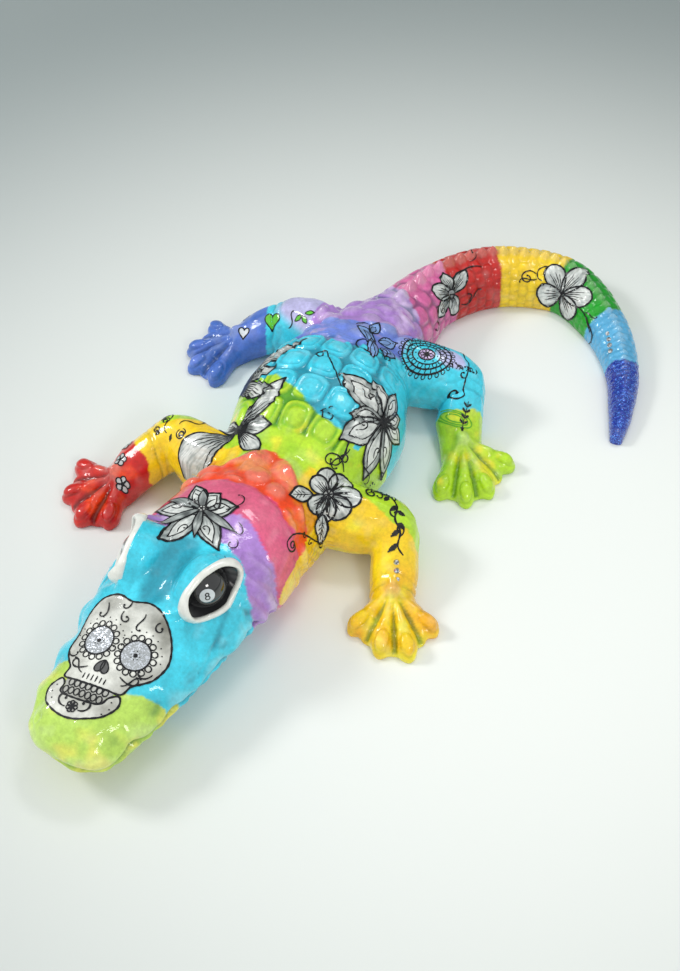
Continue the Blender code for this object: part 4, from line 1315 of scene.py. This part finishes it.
def draw_hibiscus():
    s = Sheet("shoulder_flower", (46, -92, 50), (0.40, -0.22, 0.90), (0.0, 1, 0.2))
    for k, (heading, length, width) in enumerate((
            (70, 19, 15), (118, 18, 14), (20, 20, 15), (-28, 18, 14), (-72, 17, 12), (-112, 17, 12), (158, 15, 12))):
        draw_petal(s, (0, 0), heading, length, width, 0.0, 0, 0.62, seed=40 + k, inner="veins", tone=0.55)
    draw_petal(s, (-9, -5), 214, 17, 11, 1.0, 0.1, 0.5, seed=50, inner="mid", tone=0.9)
    draw_petal(s, (3, -12), -70, 17, 10, 1.0, 0.1, 0.5, seed=51, inner="mid", tone=0.9)
    s.fill(ring_points((0, 0), 3.0, 24), (0.30, 0.31, 0.30))
    s.line(ring_points((0, 0), 3.0, 24), 1.0, closed=True)
    for k in range(6):
        s.line(vine((0, 0), k * 60 + 10, 2.6, 10, 20), 0.6)
    for heading in (70, 118, 20, -28, -72, -112):
        s.line(vine((0, 0), heading + 6, 8.5, 2, -6), 0.8, taper=0.5)
    s.curl((2, 20), 118, 26, 4, 24, 0.95)
    s.curl((-3, 23), 150, 16, -16, -46, 0.9)
    s.curl((21, 12), 30, 17, 14, -44, 0.9)
    s.curl((24, 14), 80, 14, -14, -40, 0.9)
    s.finish()


def draw_neck_scroll():
    s = Sheet("neck_scroll", (50, -127, 38), (0.94, -0.15, 0.32), (0.25, 0.97, 0.1))
    s.curl((12, 16), 215, 13, 26, 50, 1.0)
    path = vine((12, 16), 235, 44, -3.5, 5.5, 1.0)
    s.line(path, 1.1, taper=0.3)
    end = path[-1]
    s.curl(end, 300, 26, 12, 40, 1.2)
    s.curl(path[len(path) // 3], 190, 9, 20, 60, 0.9)
    s.curl(path[len(path) // 2], 280, 8, -20, -60, 0.9)
    s.finish()


def draw_lotus():
    s = Sheet("flank_flower", (53, -30, 61), (0.72, -0.10, 0.69), (-0.55, 0.35, 0.6))
    centre = (2, -2)
    petals = ((62, 30, 15, 0.1), (98, 40, 19, 0.0), (140, 25, 14, 0.1), (178, 35, 18, -0.05), (222, 39, 15, 0.1),
              (262, 36, 13, -0.05), (306, 24, 12, 0.0), (348, 19, 12, 0.0), (22, 26, 12, 0.1))
    for k, (heading, length, width, lean) in enumerate(petals):
        draw_petal(s, centre, heading, length, width, 1.0, lean, 0.55, seed=60 + k)
    s.fill(ring_points(centre, 3.4, 24), (0.012, 0.012, 0.012))
    for k in range(9):
        s.line(vine(centre, k * 40 + 12, 8, 1, -3), 1.3, taper=0.7)
    s.curl((-25, 20), 150, 20, 8, 40, 0.95)
    s.curl((-27, -4), 205, 24, 4, -30, 0.95)
    s.curl((-30, -8), 225, 20, -8, 40, 0.9)
    s.curl((-22, -16), 230, 22, 10, -34, 0.9)
    for k in range(7):
        s.dot((-13 - 2.3 * k, -37 + 1.5 * math.sin(k * 1.3)), 0.9 if k % 2 else 0.6)
    s.curl((-4, -37), 200, 12, -20, -50, 1.0)
    s.finish()


def draw_wings():
    """Long streaked leaves, spread like an insect's wings from a knot on the right shoulder."""
    s = Sheet("wing_leaves", (-29, -72, 57), (-0.36, -0.12, 0.93), (0.15, 1, 0), reach=45)
    for k, (heading, length, width, lean, belly) in enumerate((
            (232, 52, 24, 0.05, 0.62), (172, 26, 10, -0.05, 0.45), (60, 45, 14, 0.1, 0.55), (15, 25, 12, 0.1, 0.6),
            (330, 30, 12, 0.1, 0.6))):
        outline = petal((0, 0), heading, length, width, 1.0, lean, belly)
        s.fill(outline, pearl((0, 0), heading, length, width, 80 + k, dark_tip=0.9, tone=0.62))
        s.line(outline, 1.2, closed=True)
        for j in range(6):
            start = vine((0, 0), heading + (j - 2.5) * 5.5, length * (0.45 + 0.07 * ((j * 3) % 4)), 0.1 * (j - 2.5), 0)
            s.line(start[6:], 0.7, taper=0.8)
    s.fill(ring_points((0, 0), 3.2, 20), (0.03, 0.03, 0.03))
    s.finish()
    t = Sheet("wing_leaves_back", (-33, -16, 66), (-0.55, 0.05, 0.83), (0.2, 1, 0), reach=40)
    for k, (base, heading, length, width, lean) in enumerate((
            ((-14, -22), 62, 56, 17, 0.03), ((-12, -23), 28, 30, 11, 0.15), ((-11, -26), 352, 34, 11, 0.2))):
        outline = petal(base, heading, length, width, 1.0, lean, 0.5)
        t.fill(outline, pearl(base, heading, length, width, 90 + k, dark_tip=1.2, tone=0.6))
        t.line(outline, 1.1, closed=True)
        for j in range(7):
            start = vine(base, heading + (j - 3) * 5, length * (0.5 + 0.06 * ((j * 3) % 5)), 0.08 * (j - 3), 0)
            t.line(start[5:], 0.75, taper=0.8)
    t.fill(ring_points((-14, -23), 4.6, 20), (0.06, 0.07, 0.07))
    t.line(ring_points((-14, -23), 4.6, 20), 0.9, closed=True)
    t.curl((9, 24), 330, 12, -10, -30, 1.2)
    t.finish()


def draw_hip_ornament():
    s = Sheet("hip_leaves", (20, 34, 66), (0.22, 0.2, 0.95), (-0.35, 0.93, 0))
    for k, (base, heading, length, width) in enumerate((
            ((0, -22), 84, 26, 8), ((2, -4), 118, 22, 9), ((-2, 8), 60, 17, 8), ((5, 2), 20, 15, 11), ((6, -6), 340, 12, 9))):
        outline = petal(base, heading, length, width, 1.0, 0.12, 0.5)
        s.fill(outline, lambda p: np.tile(np.array((0.20, 0.34, 0.66)), (len(p), 1)) * (
            1 + 0.4 * noise(np.c_[p, p[:, 0]], 4, 8)[:, None]))
        s.line(outline, 0.95, closed=True)
        s.line(petal(base, heading, length * 0.7, width * 0.45, 1.0, 0.12, 0.5), 0.6, closed=True)
    s.curl((4, -10), 300, 16, 12, 36, 1.0)
    s.curl((-2, -18), 160, 26, -3, -20, 1.1)
    s.curl((-3, 20), 130, 16, 10, 44, 0.9)
    s.curl((12, -16), 20, 12, 20, 46, 0.9)
    for k in range(4):
        s.dot((10 + 3 * k, 9 + 2 * math.sin(k * 2.0)), 0.6)
    s.finish()
    t = Sheet("back_scroll", (-2, -2, 77), (0, 0.05, 1), (0, 1, 0))
    path = vine((26, -24), 128, 34, 1.2, -2.0, 1.0)
    t.line(path, 1.0, taper=0.3)
    t.curl(path[-1], 168, 20, 10, 34, 1.1)
    t.finish()


def draw_mandala():
    s = Sheet("hip_mandala", (54, 50, 51), (0.30, -0.05, 0.95), (-0.25, 0.95, 0))
    lace = np.array((0.50, 0.36, 0.62))
    for k, radius in enumerate((17, 13.5)):
        ring = ring_points((0, 0), radius, 60, 0.78)
        s.line(ring, 1.1 - 0.2 * k, closed=True)
    for k in range(26):
        a = 2 * math.pi * k / 26
        s.line([(17.2 * math.cos(a), 13.4 * math.sin(a)), (13.8 * math.cos(a + 0.05), 10.8 * math.sin(a + 0.05))], 0.55)
        s.line(ring_points((18.6 * math.cos(a), 14.6 * math.sin(a)), 1.2, 12), 0.55, closed=True)
    s.line(ring_points((0, 0), 9.5, 40, 0.8), 0.9, closed=True)
    for k in range(14):
        a = 2 * math.pi * k / 14
        s.line(ring_points((11.2 * math.cos(a), 8.9 * math.sin(a)), 1.5, 12), 0.6, closed=True)
    s.fill(ring_points((0, 0), 5.5, 30, 0.8), lambda p: np.tile(lace, (len(p), 1)))
    s.line(ring_points((0, 0), 5.5, 30, 0.8), 0.9, closed=True)
    for k in range(8):
        a = 2 * math.pi * k / 8
        s.line(petal((0, 0), math.degrees(a), 5.0, 2.4, 1.0), 0.55, closed=True)
        s.dot((7.4 * math.cos(a), 5.9 * math.sin(a)), 0.5)
    for k in range(9):
        s.line(vine((17 + 2.4 * k, -6 + 0.3 * k), 60 + 20 * math.sin(k * 2.1), 4.5, 20, 40), 0.6)
        s.dot((18.5 + 2.3 * k, -2.5 + 1.3 * math.sin(k * 1.7)), 0.7)
    s.finish()


def draw_tail_flowers():
    s = Sheet("tail_flower_red", (40, 140, 31), (0.72, -0.30, 0.62), (-0.35, 0.45, 0.8))
    for k, (heading, length, width) in enumerate(((95, 17, 12), (38, 24, 11), (160, 19, 13), (218, 23, 12), (290, 17, 11))):
        draw_petal(s, (-2, -1), heading, length, width, 1.0 if k in (0, 1, 3) else 0.0, 0.05, 0.55, seed=100 + k,
                   inner="veins", tone=0.62)
    s.fill(ring_points((-2, -1), 3.4, 24), (0.30, 0.31, 0.31))
    s.line(ring_points((-2, -1), 3.4, 24), 0.9, closed=True)
    s.curl((8, 12), 32, 22, -2, -4, 1.0, bead=False)
    s.curl((22, 20), 5, 20, 6, 34, 0.9)
    s.curl((-18, -7), 190, 24, 12, -34, 0.95)
    s.curl((-15, -9), 215, 13, 22, 48, 0.85)
    s.curl((9, -10), 330, 16, 8, 24, 0.9)
    s.curl((14, -12), 10, 17, 10, -30, 0.9)
    s.finish()
    t = Sheet("tail_flower_green", (113, 186, 23), (-0.10, -0.72, 0.69), (0.05, 0.45, 0.9))
    for k, (heading, length, width) in enumerate(((132, 24, 15), (72, 25, 15), (12, 24, 16), (316, 20, 14), (202, 19, 16))):
        draw_petal(t, (-1, -3), heading, length, width, 0.0, 0.0, 0.62, seed=110 + k, inner="veins", tone=0.68)
    t.curl((-18, 1), 190, 18, -12, -4, 0.9, bead=False)
    t.curl((-24, 4), 150, 26, 9, 30, 1.0)
    t.curl((-22, 1), 235, 14, -10, 34, 0.9)
    t.curl((16, -8), 350, 22, -4, 4, 1.0, bead=False)
    t.curl((25, -12), 300, 26, 3, -26, 0.95)
    t.curl((22, -10), 40, 12, -16, 44, 0.8)
    t.finish()


def draw_limb_ornaments():
    # left hind shin: an S-shaped scroll and a sprig of small leaves
    s = Sheet("shin_scroll", (87, 46, 38), (0.52, -0.25, 0.82), (0.05, 0.9, 0.4))
    path = vine((-6, 16), 292, 24, -3, 5, 1.0)
    s.line(path, 1.0, taper=0.4)
    s.curl(path[-1], 262, 17, -10, -36, 1.3)
    s.curl(path[len(path) // 2], 240, 8, -20, -50, 1.0)
    s.curl((-6, 16), 170, 12, -14, 30, 0.9)
    s.finish()
    s = Sheet("shin_leaves", (92, 30, 27), (0.5, -0.42, 0.76), (-0.1, 0.9, 0.5))
    for k in range(4):
        for way in (1, -1):
            leaf = petal((0, 5 - 4.2 * k), 90 + way * 42, 4.4, 1.7, 1.0)
            s.fill(leaf, (0.008, 0.012, 0.010))
    s.fill(petal((0, -9), -90, 4.5, 1.8, 1.0), (0.008, 0.012, 0.010))
    s.line([(0, 9), (0, -9)], 0.5)
    s.finish()
    # left hind foot: nested ovals at the ankle
    s = Sheet("ankle_ovals", (88, 26, 27), (0.25, -0.35, 0.9), (0, 1, 0.3))
    deep = (0.13, 0.42, 0.02)
    for radius in (12.5, 9.5, 6.0):
        s.line(curve_through([(radius * math.cos(a) - 1, radius * 0.42 * math.sin(a) - 2) for a in
                              (2 * math.pi * k / 16 for k in range(16))], closed=True), 0.9, closed=True, colour=deep)
    s.finish()
    # left front leg: a leafy vine down the forearm
    s = Sheet("forearm_vine", (89, -84, 40), (0.42, 0.12, 0.90), (-0.55, 0.8, 0.3))
    path = curve_through([(-8, 20), (-1, 15), (1, 7), (-2, -1), (1, -9), (-1, -17), (2, -23)])
    s.line(path, 1.25, taper=0.3)
    for k in range(2, 11):
        spot = path[int(k * len(path) / 12)]
        way = 1 if k % 2 else -1
        if k % 3 == 0:
            s.curl(spot, 90 - way * 80, 13, way * 16, way * 46, 1.1)
        else:
            leaf = petal(spot, 90 - way * 125, 6.5, 3.2, 1.0)
            s.fill(leaf, (0.008, 0.008, 0.008))
    s.curl((-8, 20), 120, 20, 12, 34, 1.2)
    s.curl((-8, 20), 60, 16, -14, -40, 1.1)
    s.finish()
    # right front leg: curls and leaves round the forearm
    s = Sheet("forearm_curls", (-75, -82, 43), (-0.20, -0.35, 0.92), (0.5, 0.85, 0))
    for start, heading, length, bend, end in (
            ((8, 6), 250, 20, 16, 40), ((9, 8), 40, 14, -20, -50), ((2, -2), 200, 20, -14, 44), ((-4, 4), 120, 16, 20, 52),
            ((-8, -4), 240, 17, 22, 50), ((-13, 2), 160, 15, -24, -54), ((-17, -3), 215, 16, 14, -46), ((4, 8), 130, 18, -16, 40)):
        s.curl(start, heading, length, bend, end, 0.95)
    for start, heading in (((5, 0), 300), ((-3, -4), 270), ((-10, 0), 100), ((-15, -4), 260)):
        s.fill(petal(start, heading, 5.0, 2.4, 1.0), (0.008, 0.008, 0.008))
    s.finish()
    # right front paw: three small silver flowers
    for k, (x, y, z) in enumerate(((-103, -93, 26), (-99, -105, 22), (-93, -118, 18))):
        s = Sheet(f"paw_flower_{k + 1}", (x, y, z), (-0.05, -0.35, 0.94), (0, 1, 0.3))
        for j in range(5):
            a = 72 * j + 18
            spot = turn2([[2.7, 0]], a)[0]
            s.fill(ring_points(spot, 1.9, 16), (0.55, 0.56, 0.56), step=0.4)
            s.line(ring_points(spot, 1.9, 16), 0.75, closed=True)
        s.dot((0, 0), 1.3)
        s.finish()
    # right hind leg: hearts and green leaves
    def heart(sheet, centre, size, colour, turn=0.0):
        a = np.linspace(0, 2 * np.pi, 40, endpoint=False)
        shape = np.stack([16 * np.sin(a) ** 3, 13 * np.cos(a) - 5 * np.cos(2 * a) - 2 * np.cos(3 * a) - np.cos(4 * a)], axis=1)
        shape = turn2(shape * size / 32, turn) + np.array(centre, float)
        sheet.fill(shape, colour, step=0.4)
        sheet.line(shape, 0.9, closed=True)

    s = Sheet("shin_heart", (-66, 48, 38), (-0.15, -0.45, 0.88), (0.2, 0.9, 0.3))
    heart(s, (0, 0), 13, (0.10, 0.52, 0.02), 20)
    for heading, base in ((60, (20, 6)), (150, (30, 8)), (30, (25, 14))):
        leaf = petal(base, heading, 7, 3.4, 1.0)
        s.fill(leaf, (0.10, 0.52, 0.02), step=0.4)
        s.line(leaf, 0.7, closed=True)
    s.curl((17, 0), 20, 14, 20, -36, 0.9)
    s.finish()
    for k, (x, y, z) in enumerate(((-86, 40, 26), (-93, 56, 25))):
        s = Sheet(f"foot_heart_{k + 1}", (x, y, z), (-0.1, -0.25, 0.96), (0.2, 0.9, 0.3))
        heart(s, (0, 0), 8.5 - 1.5 * k, (0.72, 0.74, 0.78), 20)
        s.finish()


draw_skull()
draw_nape_flower()
draw_hibiscus()
draw_neck_scroll()
draw_lotus()
draw_wings()
draw_hip_ornament()
draw_mandala()
draw_tail_flowers()
draw_limb_ornaments()


# ---------------------------------------------------------------- small pieces
def add_piece(name, bm, material, nodes, smooth_angle=None):
    """A piece from a bmesh in millimetres."""
    bmesh.ops.scale(bm, vec=(MM, MM, MM), verts=bm.verts)
    bmesh.ops.recalc_face_normals(bm, faces=bm.faces)
    mesh = bpy.data.meshes.new(name)
    bm.to_mesh(mesh)
    bm.free()
    mesh.materials.append(material)
    if smooth_angle:
        mesh.shade_smooth()
        mesh.set_sharp_from_angle(angle=math.radians(smooth_angle))
    piece = bpy.data.objects.new(name, mesh)
    bpy.context.scene.collection.objects.link(piece)
    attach(piece, "root")
    if nodes:
        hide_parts(*nodes)
    return piece


def make_materials():
    found = {}
    material, tree, shader = shader_of("black_ball", Roughness=0.06, Coat_Weight=1.0, Coat_Roughness=0.02)
    cloud = add_noise(tree, 300, 2)
    shader.inputs["Base Color"].default_value = (0.004, 0.004, 0.005, 1)
    tree.links.new(add_ramp(tree, cloud.outputs["Fac"], 0.3, 0.7, 0.04, 0.09), shader.inputs["Roughness"])
    found["ball"] = material
    for name, colour, rough in (("white_disc", (0.62, 0.66, 0.68), 0.15), ("white_lid", (0.86, 0.86, 0.80), 0.3),
                                ("black_line", (0.006, 0.006, 0.008), 0.3), ("bare_wood", (0.5, 0.3, 0.14), 0.7)):
        material, tree, shader = shader_of(name, Roughness=rough)
        if name != "bare_wood":
            shader.inputs["Coat Weight"].default_value = 1.0
            shader.inputs["Coat Roughness"].default_value = 0.05
        cloud = add_noise(tree, 240, 4)
        ramp = tree.nodes.new("ShaderNodeValToRGB")
        ramp.color_ramp.elements[0].position = 0.3
        ramp.color_ramp.elements[0].color = (*[c * 0.86 for c in colour], 1)
        ramp.color_ramp.elements[1].position = 0.7
        ramp.color_ramp.elements[1].color = (*[min(1, c * 1.05) for c in colour], 1)
        tree.links.new(cloud.outputs["Fac"], ramp.inputs["Fac"])
        tree.links.new(ramp.outputs["Color"], shader.inputs["Base Color"])
        found[name] = material
    material, tree, shader = shader_of("cut_stone", Roughness=0.03, Metallic=0.85)
    coords = tree.nodes.new("ShaderNodeTexCoord")
    # painted glints: each small cell of the stone gets a random shade from dark slate to white, standing in for facets
    # catching the light
    facet_glints = tree.nodes.new("ShaderNodeTexVoronoi")
    facet_glints.inputs["Scale"].default_value = 900
    tree.links.new(coords.outputs["Object"], facet_glints.inputs["Vector"])
    split = tree.nodes.new("ShaderNodeSeparateColor")
    tree.links.new(facet_glints.outputs["Color"], split.inputs["Color"])
    ramp = tree.nodes.new("ShaderNodeValToRGB")
    ramp.color_ramp.elements[0].color = (0.16, 0.18, 0.21, 1)
    ramp.color_ramp.elements[1].color = (1, 1, 1, 1)
    tree.links.new(split.outputs["Red"], ramp.inputs["Fac"])
    tree.links.new(ramp.outputs["Color"], shader.inputs["Base Color"])
    found["stone"] = material
    return found


MATERIALS = make_materials()


def make_eye(side, word):
    """The black ball with its white disc and digit, and the white rim round it."""
    middle, look, corner = eye_axes(side)
    middle = middle - look * EYE_SUNK
    bm = bmesh.new()
    bmesh.ops.create_uvsphere(bm, u_segments=64, v_segments=40, radius=EYE_RADIUS, matrix=Matrix.Translation(middle))
    add_piece("eye_ball_" + word, bm, MATERIALS["ball"], ["eye_ball_" + word], 60)
    place = head_matrix().to_3x3()
    gaze = (place @ mirrored(Vector((0.70, -0.62, 0.36)), side)).normalized()
    right = Vector((0, 0, 1)).cross(gaze).normalized()
    up = gaze.cross(right)

    def on_ball(a, b, lift):
        direction = (gaze + right * a + up * b).normalized()
        return middle + direction * (EYE_RADIUS + lift)

    bm = bmesh.new()
    size = 0.34
    rings = [[bm.verts.new(on_ball(r * size * math.cos(a), r * size * math.sin(a), 0.06)) for a in
              (2 * math.pi * k / 40 for k in range(40))] for r in (0.25, 0.5, 0.75, 1.0)]
    centre = bm.verts.new(on_ball(0, 0, 0.06))
    for k in range(40):
        bm.faces.new((centre, rings[0][k], rings[0][(k + 1) % 40]))
        for a, b in zip(rings, rings[1:]):
            bm.faces.new((a[k], b[k], b[(k + 1) % 40], a[(k + 1) % 40]))
    add_piece("eye_disc_" + word, bm, MATERIALS["white_disc"], [], 60)
    bm = bmesh.new()
    for offset, radius in ((0.075, 0.07), (-0.085, 0.09)):
        inner, outer = [], []
        for k in range(28):
            a = 2 * math.pi * k / 28
            for ring, r in ((inner, radius - 0.028), (outer, radius + 0.028)):
                ring.append(bm.verts.new(on_ball(r * math.cos(a), offset + r * math.sin(a), 0.12)))
        for k in range(28):
            j = (k + 1) % 28
            bm.faces.new((inner[k], outer[k], outer[j], inner[j]))
    add_piece("eye_digit_" + word, bm, MATERIALS["black_line"], [])
    # the rim lies on the brow: broad at its two corners, thinner beside the ball
    bm = bmesh.new()
    rows = []
    wall = []
    for k, (centre, radial, along) in enumerate(lid_path(side, 96)):
        pull = abs(math.cos(2 * math.pi * k / 96)) ** 8
        wide = LID_WIDE * (0.85 + 0.75 * pull)
        row = []
        for j in range(14):
            angle = 2 * math.pi * j / 14
            wave = 1 + 0.05 * math.sin(0.4 * k + j)
            row.append(bm.verts.new(centre - along * 1.6 * pull + along * wide * wave * math.cos(angle)
                                    + radial * LID_THICK * math.sin(angle)))
        rows.append(row)
        spot = (centre - look * 4 - middle).normalized()
        wall.append([(centre - along * wide * 0.7), middle + spot * EYE_RADIUS, middle + spot * EYE_RADIUS * 0.9])
    for a, b in zip(rows, rows[1:] + rows[:1]):
        for j in range(14):
            bm.faces.new((a[j], a[(j + 1) % 14], b[(j + 1) % 14], b[j]))
    add_piece("eyelid_" + word, bm, MATERIALS["white_lid"], ["eyelid_" + word], 60)
    bm = bmesh.new()
    wall = [[bm.verts.new(p) for p in row] for row in wall]
    for a, b in zip(wall, wall[1:] + wall[:1]):
        bm.faces.new((a[0], a[1], b[1], b[0]))
        bm.faces.new((a[1], a[2], b[2], b[1]))
    add_piece("eye_socket_" + word, bm, MATERIALS["black_line"], [], 60)


make_eye(1, "left")
make_eye(-1, "right")
for node_name, node in ((n, bpy.data.objects[n]) for n in frame["nodes"]):
    if "stone" in node_name or node_name.startswith("peg"):
        chosen = MATERIALS["stone" if "stone" in node_name else "bare_wood"]
        for slot_number in range(len(node.material_slots)):
            node.material_slots[slot_number].material = chosen


# ---------------------------------------------------------------- floor, light and camera
def set_stage():
    bm = bmesh.new()
    side, depth, rise, bend = 3.0, 1.5, 2.4, 0.9
    rows = [(-2.2, 0.0), (depth - bend, 0.0)]
    rows += [(depth - bend + bend * math.sin(a), bend - bend * math.cos(a)) for a in
             (math.pi / 2 * k / 12 for k in range(1, 13))]
    rows += [(depth, rise)]
    strip = [[bm.verts.new((x, y, z)) for x in (-side, side)] for y, z in rows]
    for a, b in zip(strip, strip[1:]):
        bm.faces.new((a[0], a[1], b[1], b[0]))
    mesh = bpy.data.meshes.new("floor")
    bm.to_mesh(mesh)
    bm.free()
    mesh.shade_smooth()
    floor = bpy.data.objects.new("floor", mesh)
    bpy.context.scene.collection.objects.link(floor)
    floor.rotation_euler = (0, 0, math.radians(CAMERA_TURN))
    material, tree, shader = shader_of("sweep", Roughness=0.6)
    shader.inputs["Specular IOR Level"].default_value = 0.25
    # painted light: the floor colour is a painted pool of light, near white close to a point by the figure and darker
    # further away
    coords = tree.nodes.new("ShaderNodeTexCoord")
    away = tree.nodes.new("ShaderNodeVectorMath")
    away.operation = "LENGTH"
    shifted = tree.nodes.new("ShaderNodeVectorMath")
    shifted.operation = "SUBTRACT"
    shifted.inputs[1].default_value = (0.12, -0.10, 0)
    tree.links.new(coords.outputs["Object"], shifted.inputs[0])
    tree.links.new(shifted.outputs["Vector"], away.inputs[0])
    ramp = tree.nodes.new("ShaderNodeValToRGB")
    ramp.color_ramp.interpolation = "EASE"
    ramp.color_ramp.elements[0].position = 0.08
    ramp.color_ramp.elements[0].color = (0.86, 0.88, 0.85, 1)
    ramp.color_ramp.elements[1].position = 0.78
    ramp.color_ramp.elements[1].color = (0.29, 0.325, 0.325, 1)
    tree.links.new(away.outputs["Value"], ramp.inputs["Fac"])
    tree.links.new(ramp.outputs["Color"], shader.inputs["Base Color"])
    mesh.materials.append(material)


def add_light(name, place, target, size, watts, colour=(1, 1, 1)):
    lamp = bpy.data.lights.new(name, "AREA")
    lamp.shape = "RECTANGLE"
    lamp.size, lamp.size_y = size
    lamp.energy = watts
    lamp.color = colour
    obj = bpy.data.objects.new(name, lamp)
    bpy.context.scene.collection.objects.link(obj)
    obj.location = place
    obj.rotation_euler = (Vector(target) - Vector(place)).to_track_quat("-Z", "Y").to_euler()


CAMERA_TURN = 25.0  # degrees round from straight ahead of the head, towards its left
CAMERA_RISE = 50.0
CAMERA_REACH = 0.82
CAMERA_LOOK = Vector((0.0316, -0.0442, 0.0))


def set_camera():
    turn, rise = math.radians(CAMERA_TURN), math.radians(CAMERA_RISE)
    away = Vector((math.sin(turn) * math.cos(rise), -math.cos(turn) * math.cos(rise), math.sin(rise)))
    data = bpy.data.cameras.new("camera")
    data.sensor_fit = "VERTICAL"
    data.sensor_height = 36
    data.lens = 1200 / 971 * 36
    camera = bpy.data.objects.new("camera", data)
    bpy.context.scene.collection.objects.link(camera)
    camera.location = CAMERA_LOOK + away * CAMERA_REACH
    camera.rotation_euler = (-away).to_track_quat("-Z", "Y").to_euler()
    bpy.context.scene.camera = camera


def set_lights():
    bpy.context.scene.view_settings.view_transform = "Standard"
    world = bpy.data.worlds.new("studio")
    bpy.context.scene.world = world
    world.use_nodes = True
    world.node_tree.nodes["Background"].inputs["Color"].default_value = (0.90, 0.935, 0.93, 1)
    world.node_tree.nodes["Background"].inputs["Strength"].default_value = 0.85
    add_light("softbox_left", (-1.15, -0.35, 1.05), (0, -0.05, 0), (0.35, 0.3), 9.5)
    add_light("softbox_right", (1.0, -0.8, 1.0), (0.03, -0.1, 0), (0.3, 0.25), 3.5, (1, 0.98, 0.94))
    add_light("window", (0.1, 0.5, 1.3), (0, 0, 0), (0.4, 0.2), 3.0)


set_stage()
set_lights()
set_camera()
